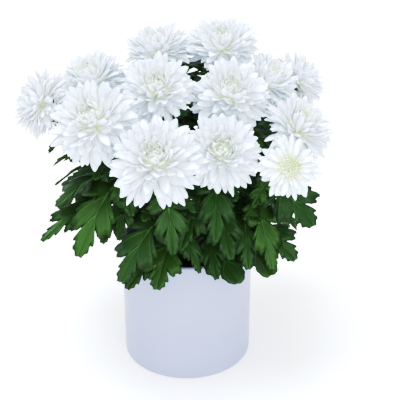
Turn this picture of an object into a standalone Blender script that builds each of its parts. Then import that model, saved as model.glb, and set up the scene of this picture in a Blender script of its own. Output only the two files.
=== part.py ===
"""A pot chrysanthemum: white double blooms on leafy stems that stand in a root ball in a plain white pot.

Metres, +Z up. The origin is the middle of the pot's underside, and -Y is the side that the plant shows best.
Each bloom is one piece, and so is each leafy stem with the green cup under its bloom. Every bloom keeps to
its own side of the planes between it and its neighbours, so its petals are kept short there. Every stem and
leaf is bent clear of what is already in place.
"""

import functools
import itertools
import math
import random

import bmesh
import bpy
from mathutils import Matrix, Vector
from mathutils.bvhtree import BVHTree

MM = 0.001
UP = Vector((0, 0, 1))
CLEAR = 0.3 * MM  # between pieces that touch

# The cover pot: a straight glazed cylinder with a flat underside.
POT_RADIUS = 70 * MM
POT_HEIGHT = 138 * MM
POT_WALL = 4.5 * MM
POT_FLOOR = 7 * MM
POT_EDGE = 2.0 * MM
POT_STEPS = 32

# The grow pot: thin, tapered, with a rolled rim that stays below the cover pot's.
GROW_TOP_RADIUS = 62 * MM
GROW_BASE_RADIUS = 48 * MM
GROW_WALL = 1.4 * MM
GROW_TOP = 129 * MM
GROW_RIM = 2.0 * MM
GROW_RIM_DEPTH = 7 * MM
GROW_STEPS = 24

# The root ball.
SOIL_EDGE = 120 * MM
SOIL_MOUND = 4 * MM
HOLE_RADIUS = 4.0 * MM
HOLE_DEPTH = 22 * MM
HOLE_SIDES = 6

# Stems.
STEM_BASE_RADIUS = 3.0 * MM
STEM_TOP_RADIUS = 2.0 * MM
STEM_SPREAD = 0.27  # a stem's place in the soil, as a share of its bloom's place
STEM_POINTS = 5
STEM_BENDS = ((0.35, 0.35), (0.35, 0.25), (0.3, 0.18), (0.5, 0.18), (0.2, 0.12), (0.45, 0.45), (0.2, 0.08))
STEM_UPRIGHT = 0.6  # how upright a stem leaves the soil: 1 is straight up
CUP_RADIUS = 6.5 * MM
CUP_DEPTH = 6 * MM
SEAT_RADIUS = 5.6 * MM

# Bloom heads.
HEAD_DEPTH = 12 * MM  # from the seat of a head to its middle
PETAL_THICKNESS = 1.2 * MM
PETAL_SHOULDER = 0.86  # where a round petal starts to narrow, as a share of its length
PETAL_SHOULDER_WIDTH = 0.32  # how far the shoulder is from the middle line, as a share of the petal's sector
PETAL_SPREAD = (0.93, 1.04)  # how much the petals of a ring differ in length
PETAL_TILT = 9  # and in slope, in degrees, either way
RING_TURN = 0.15  # how far a ring strays from standing in the gaps of the one below, in petals
BLOOM_CLEAR = 0.8 * MM

# Leaves.
LEAF_THICKNESS = 0.9 * MM
LEAF_CLEAR = 0.5 * MM
LEAF_HALF_WIDTH = 0.37  # as a share of its length
LEAF_FOLD = 0.3  # how steeply the halves rise from the midrib
LEAF_DROOP = 0.35  # how much of that they lose again at the edge
LEAF_ARCH = 0.28  # how high a leaf arches, as a share of the way from its stalk to its tip
LEAF_CROWN = 0.45  # where along that way it is highest

# Every flowering stem: the place of the bloom's middle (x, y, z), its diameter, its lean from upright, the
# way that it leans (0 is +X, -90 is towards the front), in millimetres and degrees, and the bloom's form.
PLANTS = (
    ("01", -26, -108, 275, 98, 38, -98, "double"),
    ("02", 35, -70, 268, 88, 50, -88, "double"),
    ("03", 98, -95, 263, 66, 58, -82, "open"),
    ("04", 111, -35, 279, 84, 34, -30, "double"),
    ("05", 44, -15, 306, 92, 34, -90, "double"),
    ("06", 84, 30, 303, 82, 30, -30, "double"),
    ("07", 124, 82, 289, 74, 52, 14, "double"),
    ("08", 38, 55, 334, 90, 22, -100, "double"),
    ("09", -30, 60, 328, 84, 14, -170, "double"),
    ("10", -28, -20, 312, 88, 36, -96, "double"),
    ("11", -98, 35, 303, 84, 26, -150, "double"),
    ("12", -87, -60, 294, 98, 36, -112, "double"),
    ("13", -146, -15, 297, 80, 58, -172, "double"),
    ("14", -146, 62, 262, 70, 56, 158, "double"),
    ("15", -96, 112, 270, 76, 48, 128, "double"),
    ("16", -28, 128, 286, 80, 44, 100, "double"),
    ("17", 42, 130, 284, 80, 46, 78, "double"),
    ("18", 100, 142, 258, 68, 56, 50, "double"),
)

# Rings of petals, outermost first: number, radius and height of their roots in millimetres, slope at the root
# and at the tip in degrees, length as a share of the bloom's radius, where the petals part as a share of that,
# and whether the tips are round.
PETAL_RINGS = {
    "double": (
        (13, 7.5, 3.5, 4, -22, 1.0, 0.64, True),
        (10, 6.6, 7.5, 32, 12, 0.92, 0.62, False),
        (7, 5.4, 11.0, 58, 52, 0.66, 0.66, False),
        (4, 3.4, 14.5, 72, 118, 0.46, 0.52, False),
    ),
    "open": (
        (13, 8.5, 3.5, 4, -10, 1.0, 0.62, True),
        (12, 8.2, 7.5, 24, 8, 0.82, 0.60, False),
        (8, 7.0, 11.0, 64, 78, 0.34, 0.50, False),
    ),
}
HEART_RISE = {"double": 1.5 * MM, "open": 4.5 * MM}

# Half of a leaf, from the stem to the tip: along its length and across from the midrib. The stalk comes
# first, then two side lobes that point forward, then the end lobe. Across is a share of the half width.
LEAF_EDGE = (
    (0.0, 0.05),
    (0.24, 0.14),
    (0.40, 0.96),
    (0.52, 0.92),
    (0.56, 0.38),
    (0.66, 0.82),
    (0.79, 0.70),
    (0.82, 0.28),
    (0.94, 0.27),
)
LEAF_RIB = (0.0, 0.24, 0.56, 1.0)

# Leaves that the front shows: the plant, how high the stalk leaves the stem, the place of the leaf's tip
# (x, y, z) in millimetres, its width as a share of the usual one, and its roll in degrees.
FRONT_LEAVES = (
    ("12", 222, -104, -95, 166, 0.78, 0),
    ("13", 200, -132, -88, 174, 0.5, 0),
    ("12", 216, -62, -66, 168, 0.8, 0),
    ("13", 208, -127, -58, 201, 0.8, -15),
    ("13", 228, -131, -38, 216, 0.5, -26),
    ("13", 240, -134, -28, 233, 0.6, -10),
    ("14", 238, -141, -6, 238, 0.5, -20),
    ("12", 200, -88, -66, 160, 0.7, 0),
    ("12", 240, -52, -84, 205, 0.9, 0),
    ("01", 196, -63, -105, 143, 0.9, 0),
    ("01", 166, -28, -99, 131, 1.1, 0),
    ("01", 150, -58, -92, 127, 0.7, 0),
    ("01", 222, -12, -104, 162, 0.7, 0),
    ("02", 214, -5, -88, 170, 0.7, 20),
    ("02", 232, 29, -108, 190, 0.8, 0),
    ("02", 195, 45, -97, 164, 0.7, 0),
    ("02", 168, 31, -96, 141, 0.6, 0),
    ("01", 184, 14, -92, 146, 0.6, 0),
    ("02", 148, 52, -88, 131, 0.8, 0),
    ("04", 152, 68, -86, 133, 0.8, 0),
    ("03", 190, 62, -92, 150, 0.7, 0),
    ("03", 205, 80, -88, 147, 0.8, 0),
    ("03", 182, 110, -74, 163, 1.0, 0),
    ("04", 222, 124, -86, 195, 0.9, 0),
    ("04", 206, 92, -72, 176, 0.8, 0),
    ("04", 176, 110, -4, 150, 0.9, 0),
    ("04", 238, 128, 8, 212, 0.8, 0),
    ("03", 228, 66, -76, 210, 0.9, 0),
    ("10", 206, -40, -60, 186, 0.9, 0),
    ("10", 262, 2, -62, 262, 0.8, 0),
    ("05", 256, 76, -42, 256, 0.8, 0),
    ("05", 236, 12, -58, 232, 0.8, 0),
)

# Leaves of the other sides, by rule: share of the stem's height, turn from the way that the stem leans out,
# length, and how far the tip hangs below its stalk, in degrees and millimetres. Stems behind REAR_EDGE whose
# bloom stands further out than OUTER_REACH have the outer ones.
OUTER_LEAVES = ((0.36, 8, 72, 38), (0.54, 46, 70, 32), (0.70, -42, 66, 22))
INNER_LEAVES = ((0.66, 30, 58, 4), (0.84, 200, 50, 0))
REAR_EDGE = 20 * MM
OUTER_REACH = 80 * MM
LEAF_TURN = 12  # how far a leaf by rule strays from its turn, in degrees
LEAF_SPREAD = (0.9, 1.08)  # and how much its length differs
LEAF_WIDTHS = (0.85, 1.1)  # and its width

# What a leaf is tried with until it is clear, the least change first: length, height of its arch, and turn,
# lift and roll in degrees.
LEAF_CHANGES = sorted(
    itertools.product(
        (1, 0.92, 0.84, 0.76, 0.68, 0.6, 0.52, 0.45),
        (LEAF_ARCH, 0.16, 0.4),
        (0, 7, -7, 14, -14, 22, -22),
        (0, 10, -10),
        (0, 15, -15, 30, -30),
    ),
    key=lambda c: 60 * (1 - c[0]) + 25 * abs(c[1] - LEAF_ARCH) + 0.6 * abs(c[2]) + abs(c[3]) + abs(c[4]) / 7,
)


def clear_scene():
    for obj in list(bpy.data.objects):
        bpy.data.objects.remove(obj)


def collection(name):
    made = bpy.data.collections.new(name)
    bpy.context.scene.collection.children.link(made)
    return made


def material(name, colour, roughness):
    made = bpy.data.materials.new(name)
    made.use_nodes = True
    shader = made.node_tree.nodes["Principled BSDF"]
    shader.inputs["Base Color"].default_value = (*colour, 1)
    shader.inputs["Roughness"].default_value = roughness
    return made


def mesh_object(name, mesh, home, finish):
    obj = bpy.data.objects.new(name, mesh)
    home.objects.link(obj)
    obj.data.materials.clear()
    obj.data.materials.append(finish)
    return obj


def closed_mesh(name, points, faces):
    """A mesh from points and faces, with its faces turned outward."""
    mesh = bpy.data.meshes.new(name)
    mesh.from_pydata(points, [], faces)
    bm = bmesh.new()
    bm.from_mesh(mesh)
    bmesh.ops.recalc_face_normals(bm, faces=bm.faces)
    bm.to_mesh(mesh)
    bm.free()
    return mesh


def evaluated_copy(obj, name, home, finish):
    """The object as its modifiers leave it, as a plain mesh. The object itself is removed."""
    graph = bpy.context.evaluated_depsgraph_get()
    mesh = bpy.data.meshes.new_from_object(obj.evaluated_get(graph))
    made = mesh_object(name, mesh, home, finish)
    made.matrix_world = obj.matrix_world.copy()
    bpy.data.objects.remove(obj)
    return made


def boolean(obj, operation, others):
    """Joins the collection's objects to obj or cuts them from it, applies that, and removes them."""
    modifier = obj.modifiers.new(operation.title(), "BOOLEAN")
    modifier.operation = operation
    modifier.operand_type = "COLLECTION"
    modifier.collection = others
    modifier.solver = "EXACT"
    name, home, finish = obj.name, obj.users_collection[0], obj.data.materials[0]
    obj.name = name + "_raw"
    made = evaluated_copy(obj, name, home, finish)
    for used in list(others.objects):
        bpy.data.objects.remove(used)
    bpy.data.collections.remove(others)
    return made


def turned(name, profile, steps, home, finish):
    """A solid of revolution about Z, from a profile that starts and ends on the axis."""
    mesh = bpy.data.meshes.new(name)
    edges = [(i, i + 1) for i in range(len(profile) - 1)]
    mesh.from_pydata([(radius, 0, height) for radius, height in profile], edges, [])
    obj = mesh_object(name + "_profile", mesh, home, finish)
    screw = obj.modifiers.new("Turn", "SCREW")
    screw.angle = math.tau
    screw.steps = screw.render_steps = steps
    screw.use_merge_vertices = True
    screw.merge_threshold = 0.0001
    made = evaluated_copy(obj, name, home, finish)
    bm = bmesh.new()
    bm.from_mesh(made.data)
    bmesh.ops.remove_doubles(bm, verts=bm.verts, dist=0.00001)
    bmesh.ops.recalc_face_normals(bm, faces=bm.faces)
    bm.to_mesh(made.data)
    bm.free()
    made.data.shade_smooth()
    made.data.set_sharp_from_angle(angle=math.radians(35))
    return made


def cover_pot(home, finish):
    inner = POT_RADIUS - POT_WALL
    profile = (
        (0, POT_FLOOR),
        (inner - POT_EDGE, POT_FLOOR),
        (inner, POT_FLOOR + POT_EDGE),
        (inner, POT_HEIGHT - POT_EDGE / 2),
        (inner + POT_EDGE / 2, POT_HEIGHT),
        (POT_RADIUS - POT_EDGE / 2, POT_HEIGHT),
        (POT_RADIUS, POT_HEIGHT - POT_EDGE / 2),
        (POT_RADIUS, POT_EDGE),
        (POT_RADIUS - POT_EDGE, 0),
        (0, 0),
    )
    return turned("cover_pot", profile, POT_STEPS, home, finish)


def grow_radius(height):
    """The grow pot's outer radius at a height above the surface."""
    share = (height - POT_FLOOR) / (GROW_TOP - POT_FLOOR)
    return GROW_BASE_RADIUS + (GROW_TOP_RADIUS - GROW_BASE_RADIUS) * share


def grow_pot(home, finish):
    base = POT_FLOOR + CLEAR
    rim_low = GROW_TOP - GROW_RIM_DEPTH
    profile = (
        (0, base + GROW_WALL),
        (grow_radius(base) - GROW_WALL, base + GROW_WALL),
        (GROW_TOP_RADIUS - GROW_WALL, GROW_TOP),
        (GROW_TOP_RADIUS + GROW_RIM, GROW_TOP),
        (GROW_TOP_RADIUS + GROW_RIM, rim_low),
        (grow_radius(rim_low), rim_low),
        (grow_radius(base), base),
        (0, base),
    )
    return turned("grow_pot", profile, GROW_STEPS, home, finish)


def soil_height(distance):
    """The root ball's top at a distance from the axis: a low mound."""
    return SOIL_EDGE + SOIL_MOUND * (1 - (distance / GROW_TOP_RADIUS) ** 2)


def root_ball(home, plants, finish):
    """The soil, with a plain hole for each stem."""
    base = POT_FLOOR + 2 * CLEAR + GROW_WALL
    edge = grow_radius(SOIL_EDGE) - GROW_WALL - CLEAR
    profile = (
        (0, soil_height(0)),
        (edge, SOIL_EDGE),
        (grow_radius(base) - GROW_WALL - CLEAR, base),
        (0, base),
    )
    ball = turned("root_ball", profile, GROW_STEPS, home, finish)
    cutters = collection("holes")
    for plant in plants:
        mesh = bpy.data.meshes.new("hole")
        bm = bmesh.new()
        bmesh.ops.create_cone(
            bm,
            cap_ends=True,
            segments=HOLE_SIDES,
            radius1=HOLE_RADIUS,
            radius2=HOLE_RADIUS,
            depth=2 * HOLE_DEPTH,
        )
        bm.to_mesh(mesh)
        bm.free()
        hole = mesh_object("hole", mesh, cutters, finish)
        hole.location = (plant.base.x, plant.base.y, plant.base.z - CLEAR + HOLE_DEPTH)
    return boolean(ball, "DIFFERENCE", cutters)


class Plant:
    """One flowering stem: where its bloom is, how it leans, and where it stands in the soil."""

    def __init__(self, name, x, y, z, diameter, lean, way, form):
        self.name = name
        self.middle = Vector((x, y, z)) * MM
        self.radius = diameter * MM / 2
        self.form = form
        tilt, turn = math.radians(lean), math.radians(way)
        self.axis = Vector(
            (math.sin(tilt) * math.cos(turn), math.sin(tilt) * math.sin(turn), math.cos(tilt))
        )
        self.seat = self.middle - self.axis * HEAD_DEPTH
        place = self.middle.xy * STEM_SPREAD
        self.ground = Vector((*place, soil_height(place.length) + 1 * MM))
        self.base = self.ground - UP * HOLE_DEPTH
        self.walls = []
        self.bend = STEM_BENDS[0]

    def frame(self):
        """The bloom's own frame: Z along its axis, its origin at its seat."""
        side = self.axis.orthogonal().normalized()
        turn = Matrix((side, self.axis.cross(side), self.axis)).transposed()
        return Matrix.Translation(self.seat) @ turn.to_4x4()

    def overreach(self, point):
        """How far a point lies past the nearest plane to a neighbour. Below zero it is on its own side."""
        return max((point - where).dot(normal) for where, normal in self.walls)

    def stem_line(self, share):
        """The stem's middle line from the ground, share 0, to the green cup, share 1: a cubic."""
        start, end = self.ground, self.seat - self.axis * (CUP_DEPTH + CLEAR)
        reach = (end - start).length
        straight = (end - start).normalized()
        low = start + straight.lerp(UP, STEM_UPRIGHT).normalized() * reach * self.bend[0]
        high = end - self.axis * reach * self.bend[1]
        a, b = 1 - share, share
        return start * a**3 + low * (3 * a * a * b) + high * (3 * a * b * b) + end * b**3

    def share_at(self, height):
        """The share of the stem's line at which it reaches a height."""
        shares = [i / 60 for i in range(61)]
        return min(shares, key=lambda share: abs(self.stem_line(share).z - height))


def set_walls(plants):
    """Between two neighbours stands one plane. It passes between their blooms at the share of the way that
    their radii give, and midway between their stems in the soil."""
    for one in plants:
        for other in plants:
            if one is other:
                continue
            share = one.radius / (one.radius + other.radius)
            high = one.middle.lerp(other.middle, share)
            low = one.base.lerp(other.base, 0.5)
            line = (high - low).normalized()
            across = other.middle - one.middle
            normal = (across - line * across.dot(line)).normalized()
            one.walls.append((high - normal * BLOOM_CLEAR / 2, normal))


def arch(first, last, length):
    """The way out and up along an arch whose slope turns evenly from first to last, in degrees."""
    start, turn = math.radians(first), math.radians(last - first)
    if abs(turn) < 1e-6:
        turn = 1e-6
    out = length * (math.sin(start + turn) - math.sin(start)) / turn
    rise = length * (math.cos(start) - math.cos(start + turn)) / turn
    return out, rise


class PetalRing:
    """One ring of petals of a bloom, from its roots on the heart to its tips."""

    def __init__(self, plant, row, number, rng):
        self.count, radius, height, self.root_slope, self.tip_slope, reach, part, self.is_round = row
        self.root = (radius * MM, height * MM)
        self.part = part
        self.plant = plant
        self.frame = plant.frame()
        self.offset = (0.5 * number + rng.uniform(-RING_TURN, RING_TURN)) % 1
        full = plant.radius * reach - radius * MM
        self.lengths = [full * rng.uniform(*PETAL_SPREAD) for _ in range(self.count)]
        self.slopes = [rng.uniform(-PETAL_TILT, PETAL_TILT) for _ in range(self.count)]
        self.fit()

    def place(self, turn, length, share, over, slope=0.0):
        """A point of the ring in the scene: turn counts petals round it, over is above its middle surface."""
        last = self.root_slope + (self.tip_slope + slope - self.root_slope) * share
        out, rise = arch(self.root_slope, last, length * share)
        now = math.radians(last)
        out += self.root[0] - over * math.sin(now)
        rise += self.root[1] + over * math.cos(now)
        way = math.tau * (turn + self.offset) / self.count
        return self.frame @ Vector((out * math.cos(way), out * math.sin(way), rise))

    def fit(self):
        """Shortens each petal until it is on its own side of the planes to the neighbours."""
        for i in range(self.count):
            for _ in range(40):
                shoulder = PETAL_SHOULDER_WIDTH if self.is_round else 0.0
                spots = [self.place(i + 0.5, self.lengths[i], 1, 0, self.slopes[i])]
                spots += [
                    self.place(i + 0.5 + side * shoulder, self.lengths[i], PETAL_SHOULDER, 0, self.slopes[i])
                    for side in (-1, 1)
                ]
                if max(self.plant.overreach(spot) for spot in spots) < -PETAL_THICKNESS:
                    break
                self.lengths[i] *= 0.95

    def level(self, kind, half):
        """The points of one kind on one face of the ring: half is 1 on the upper face and -1 on the lower."""
        over = half * PETAL_THICKNESS / 2
        if kind == "root":
            return [self.place(i, 0, 0, over) for i in range(self.count)]
        if kind == "parting":
            return [
                self.place(i, min(self.lengths[i - 1], self.lengths[i]), self.part, over)
                for i in range(self.count)
            ]
        if kind == "tip":
            return [self.place(i + 0.5, self.lengths[i], 1, 0, self.slopes[i]) for i in range(self.count)]
        side = -PETAL_SHOULDER_WIDTH if kind == "first shoulder" else PETAL_SHOULDER_WIDTH
        return [
            self.place(i + 0.5 + side, self.lengths[i], PETAL_SHOULDER, over, self.slopes[i])
            for i in range(self.count)
        ]

    def build(self, points, faces):
        """Adds the ring to a mesh, and gives the numbers of its lower and upper root points."""
        at = {}
        kinds = ["root", "parting"] + (["first shoulder", "last shoulder"] if self.is_round else [])
        for kind in kinds:
            for half in (-1, 1):
                at[kind, half] = len(points)
                points += self.level(kind, half)
        tip = len(points)
        points += self.level("tip", 0)
        n = self.count
        for i in range(n):
            j = (i + 1) % n
            for half in (-1, 1):
                root, part = at["root", half], at["parting", half]
                faces.append((root + i, part + i, part + j))
                faces.append((root + i, part + j, root + j))
                if self.is_round:
                    first, last = at["first shoulder", half], at["last shoulder", half]
                    faces.append((part + i, first + i, last + i))
                    faces.append((part + i, last + i, part + j))
                    faces.append((first + i, tip + i, last + i))
                else:
                    faces.append((part + i, tip + i, part + j))
            low, high = at["parting", -1], at["parting", 1]
            if self.is_round:
                first_low, first_high = at["first shoulder", -1], at["first shoulder", 1]
                last_low, last_high = at["last shoulder", -1], at["last shoulder", 1]
                faces.append((low + i, first_low + i, first_high + i, high + i))
                faces.append((last_low + i, low + j, high + j, last_high + i))
                faces.append((first_low + i, tip + i, first_high + i))
                faces.append((last_low + i, tip + i, last_high + i))
            else:
                faces.append((low + i, tip + i, high + i))
                faces.append((tip + i, low + j, high + j))
        numbers = range(n)
        return [at["root", -1] + i for i in numbers], [at["root", 1] + i for i in numbers]


def band(first, second, first_turns, second_turns, faces):
    """Joins two closed loops of points round one axis, by the turn at which each point stands."""
    ends = first_turns[1:] + [first_turns[0] + 1]
    other_ends = second_turns[1:] + [second_turns[0] + 1]
    n, m = len(first), len(second)
    i = j = 0
    while i < n or j < m:
        if j == m or (i < n and ends[i] <= other_ends[j]):
            faces.append((first[i], first[(i + 1) % n], second[j % m]))
            i += 1
        else:
            faces.append((first[i % n], second[(j + 1) % m], second[j]))
            j += 1


def bloom(plant, home, finish, rng):
    """A bloom head as one closed mesh: rings of petals, each raised from the heart above the last."""
    points, faces = [], []
    frame = plant.frame()
    rings = [PetalRing(plant, row, number, rng) for number, row in enumerate(PETAL_RINGS[plant.form])]
    first = rings[0]
    before = [len(points) + i for i in range(first.count)]
    before_turns = [(i + first.offset) / first.count for i in range(first.count)]
    for turn in before_turns:
        way = math.tau * turn
        points.append(frame @ Vector((SEAT_RADIUS * math.cos(way), SEAT_RADIUS * math.sin(way), 0)))
    faces.append(tuple(reversed(before)))
    for ring in rings:
        low, high = ring.build(points, faces)
        turns = [(i + ring.offset) / ring.count for i in range(ring.count)]
        band(before, low, before_turns, turns, faces)
        before, before_turns = high, turns
    top = len(points)
    last = rings[-1]
    points.append(frame @ Vector((0, 0, last.root[1] + HEART_RISE[plant.form])))
    for i in range(last.count):
        faces.append((before[i], before[(i + 1) % last.count], top))
    return mesh_object("bloom_" + plant.name, closed_mesh("bloom", points, faces), home, finish)


def stem_object(plant, name, home, finish):
    """The stem and the green cup under its bloom: a tapered tube with filled ends."""
    curve = bpy.data.curves.new("stem", "CURVE")
    curve.dimensions = "3D"
    curve.bevel_depth = 1.0
    curve.bevel_resolution = 1
    curve.use_fill_caps = True
    shares = [i / (STEM_POINTS - 1) for i in range(STEM_POINTS)]
    line = [plant.base] + [plant.stem_line(share) for share in shares]
    widths = [STEM_BASE_RADIUS]
    widths += [STEM_BASE_RADIUS + (STEM_TOP_RADIUS - STEM_BASE_RADIUS) * share for share in shares]
    top = plant.seat - plant.axis * CLEAR
    line += [top - plant.axis * CUP_DEPTH * 0.35, top]
    widths += [CUP_RADIUS, CUP_RADIUS * 0.9]
    spline = curve.splines.new("POLY")
    spline.points.add(len(line) - 1)
    for point, place, width in zip(spline.points, line, widths):
        point.co = (*place, 1)
        point.radius = width
    raw = bpy.data.objects.new("stem_raw", curve)
    home.objects.link(raw)
    made = evaluated_copy(raw, name, home, finish)
    bm = bmesh.new()
    bm.from_mesh(made.data)
    bmesh.ops.remove_doubles(bm, verts=bm.verts, dist=0.00001)
    bm.to_mesh(made.data)
    bm.free()
    return made


def tree_of(obj):
    """A search tree of an object's faces, to find what touches it."""
    return BVHTree.FromPolygons(
        [obj.matrix_world @ v.co for v in obj.data.vertices], [p.vertices for p in obj.data.polygons]
    )


def free_of(tree, others):
    return not any(tree.overlap(other) for other in others)


def fitted_stem(plant, placed, home, finish):
    """The stem with the first bend that leaves it clear of the blooms and of the stems already there."""
    made = None
    for bend in STEM_BENDS:
        if made:
            bpy.data.objects.remove(made)
        plant.bend = bend
        made = stem_object(plant, "leafy_stem_" + plant.name, home, finish)
        if free_of(tree_of(made), placed):
            return made
    return made


class Leaf:
    """One leaf: an arched blade with lobes, from a stalk on the stem to its tip."""

    def __init__(self, root, tip, wide, arch_height, roll):
        chord = tip - root
        self.root = root
        self.tip = tip
        self.wide = wide
        self.roll = roll
        self.across = UP.cross(chord).normalized()
        self.crown = root + chord * LEAF_CROWN + UP * chord.length * arch_height
        self.length = chord.length * (1 + 1.6 * arch_height**2)

    def place(self, along, across, over):
        """A point of the leaf: along its length, across from the midrib as a share of the half width."""
        a, b = 1 - along, along
        middle = self.root * a * a + self.crown * (2 * a * b) + self.tip * b * b
        ahead = ((self.crown - self.root) * a + (self.tip - self.crown) * b).normalized()
        flat = ahead.cross(self.across)
        lift = flat * math.cos(self.roll) + self.across * math.sin(self.roll)
        side = lift.cross(ahead)
        reach = across * self.wide * LEAF_HALF_WIDTH * self.length
        fold = abs(reach) * (LEAF_FOLD - LEAF_DROOP * abs(across))
        return middle + side * reach + lift * (fold + over)

    def points(self, thickness):
        """The points of both faces of the blade, in the order that leaf_faces has them."""
        return [
            self.place(along, across, half * thickness / 2)
            for half in (1, -1)
            for along, across in flat_leaf()
        ]


def flat_leaf():
    """The flat leaf's points: its rib, then the edge of either half from the stalk to the end lobe."""
    rib = [(along, 0.0) for along in LEAF_RIB]
    return rib + list(LEAF_EDGE) + [(along, -across) for along, across in LEAF_EDGE]


@functools.cache
def leaf_faces():
    """The faces of a leaf: both sides filled alike from the rib to the edge, with a wall round the edge."""
    flat = flat_leaf()
    count, n = len(flat), len(LEAF_EDGE)
    rib = list(range(len(LEAF_RIB)))
    halves = [list(range(start, start + n)) for start in (len(rib), len(rib) + n)]
    faces = []
    for edge in halves:
        loop = rib[::-1] + edge
        bm = bmesh.new()
        verts = [bm.verts.new((flat[i][0], LEAF_HALF_WIDTH * flat[i][1], 0)) for i in loop]
        number = dict(zip(verts, loop))
        filled = bmesh.ops.triangulate(bm, faces=[bm.faces.new(verts)], ngon_method="BEAUTY")
        for face in filled["faces"]:
            corners = tuple(number[vert] for vert in face.verts)
            faces.append(corners)
            faces.append(tuple(i + count for i in reversed(corners)))
        bm.free()
    outline = [0] + halves[0] + [rib[-1]] + halves[1][::-1]
    for here, after in zip(outline, outline[1:] + outline[:1]):
        faces.append((here, after, after + count, here + count))
    return faces


def leaf_plan(plant, rng):
    """The leaves of one stem: the share of its height, the tip and the width of each."""
    plan = []
    for name, height, x, y, z, wide, roll in FRONT_LEAVES:
        if name == plant.name:
            plan.append((plant.share_at(height * MM), Vector((x, y, z)) * MM, wide, math.radians(roll)))
    outward = math.atan2(plant.middle.y, plant.middle.x)
    if plant.middle.y > REAR_EDGE and plant.middle.xy.length > OUTER_REACH:
        rule = OUTER_LEAVES
    else:
        rule = () if plan else INNER_LEAVES
    for share, turn, length, hang in rule:
        way = outward + math.radians(turn + rng.uniform(-LEAF_TURN, LEAF_TURN))
        out = Vector((math.cos(way), math.sin(way), 0)) * length * rng.uniform(*LEAF_SPREAD)
        tip = plant.stem_line(share) + (out - UP * hang) * MM
        plan.append((share, tip, rng.uniform(*LEAF_WIDTHS), 0.0))
    return plan


def fitted_leaf(root, tip, wide, roll, placed):
    """The leaf at its full size if there is room, or else with the least change that leaves it clear."""
    for short, arch_height, turn, lift, tilt in LEAF_CHANGES:
        away = Matrix.Rotation(math.radians(turn), 3, "Z") @ (tip - root) * short
        end = root + away + UP * away.length * math.tan(math.radians(lift))
        leaf = Leaf(root, end, wide, arch_height, roll + math.radians(tilt))
        tree = BVHTree.FromPolygons(leaf.points(LEAF_THICKNESS + 2 * LEAF_CLEAR), leaf_faces())
        if free_of(tree, placed):
            return leaf
    return None


def main():
    clear_scene()
    home = collection("pot_chrysanthemum")
    glaze = material("white_glaze", (0.80, 0.83, 0.90), 0.35)
    plastic = material("black_plastic", (0.02, 0.02, 0.02), 0.5)
    peat = material("peat", (0.05, 0.03, 0.02), 0.95)
    green = material("leaf_green", (0.04, 0.13, 0.02), 0.5)
    white = material("petal_white", (0.86, 0.88, 0.90), 0.6)
    plants = [Plant(*row) for row in PLANTS]
    set_walls(plants)
    pots = [cover_pot(home, glaze), grow_pot(home, plastic), root_ball(home, plants, peat)]
    blooms = [bloom(plant, home, white, random.Random(200 + i)) for i, plant in enumerate(plants)]
    still = [tree_of(obj) for obj in pots + blooms]
    stems, stem_trees = [], []
    for plant in plants:
        stems.append(fitted_stem(plant, still + stem_trees, home, green))
        stem_trees.append(tree_of(stems[-1]))
    leaf_trees = []
    for number, plant in enumerate(plants):
        leaves = collection("leaves_" + plant.name)
        others = still + stem_trees[:number] + stem_trees[number + 1 :]
        for share, tip, wide, roll in leaf_plan(plant, random.Random(300 + number)):
            leaf = fitted_leaf(plant.stem_line(share), tip, wide, roll, others + leaf_trees)
            if leaf:
                blade = closed_mesh("leaf", leaf.points(LEAF_THICKNESS), leaf_faces())
                leaf_trees.append(tree_of(mesh_object("leaf", blade, leaves, green)))
        boolean(stems[number], "UNION", leaves)


main()
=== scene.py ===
"""Looks of the pot chrysanthemum: fine petals, leaves, stems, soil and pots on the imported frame.

Metres, +Z up, in the frame's own axes: the origin is the middle of the pot's underside and -Y is the front.
Petals, bracts, leaves, stems, crumbs and pots are all closed tubes: rings of points along a path, which are
worked out as whole arrays, with a pole at each end. Only the path and the section differ.
"""

import itertools
import logging
import math
import random
from dataclasses import dataclass, field
from enum import Enum

import bpy
import numpy as np
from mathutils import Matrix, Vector
from mathutils.kdtree import KDTree


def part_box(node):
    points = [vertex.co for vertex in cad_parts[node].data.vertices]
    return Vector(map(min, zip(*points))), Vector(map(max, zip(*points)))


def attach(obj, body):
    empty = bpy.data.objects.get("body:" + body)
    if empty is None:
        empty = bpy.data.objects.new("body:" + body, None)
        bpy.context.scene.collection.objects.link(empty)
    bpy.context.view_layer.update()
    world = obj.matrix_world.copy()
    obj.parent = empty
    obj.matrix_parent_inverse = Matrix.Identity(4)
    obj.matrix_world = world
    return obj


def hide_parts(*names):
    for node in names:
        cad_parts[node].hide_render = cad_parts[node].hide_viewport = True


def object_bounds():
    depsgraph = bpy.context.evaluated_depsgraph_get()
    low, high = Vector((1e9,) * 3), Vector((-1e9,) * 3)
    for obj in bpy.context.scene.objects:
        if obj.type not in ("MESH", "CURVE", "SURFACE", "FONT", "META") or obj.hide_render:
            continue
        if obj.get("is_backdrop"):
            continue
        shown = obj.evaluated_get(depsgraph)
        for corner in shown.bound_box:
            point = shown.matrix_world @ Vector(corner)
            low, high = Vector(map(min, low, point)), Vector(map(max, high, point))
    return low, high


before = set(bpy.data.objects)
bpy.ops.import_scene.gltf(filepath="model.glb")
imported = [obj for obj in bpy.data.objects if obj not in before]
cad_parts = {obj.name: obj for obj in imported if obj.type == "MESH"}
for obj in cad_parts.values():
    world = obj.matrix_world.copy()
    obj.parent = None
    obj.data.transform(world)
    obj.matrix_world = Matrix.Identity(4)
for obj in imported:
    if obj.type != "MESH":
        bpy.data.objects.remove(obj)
CAD_LOW, CAD_HIGH = (np.array(corner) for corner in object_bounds())

MM = 0.001
UP = np.array((0.0, 0.0, 1.0))
GOLDEN_TURN = math.radians(137.508)
BODY = "root"
Socket = bpy.types.NodeSocket
Feed = float | tuple | Socket
log = logging.getLogger("pot_chrysanthemum")


class BloomForm(Enum):
    """The two forms of bloom on the plant."""

    DOUBLE = "double"
    OPEN = "open"


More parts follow.
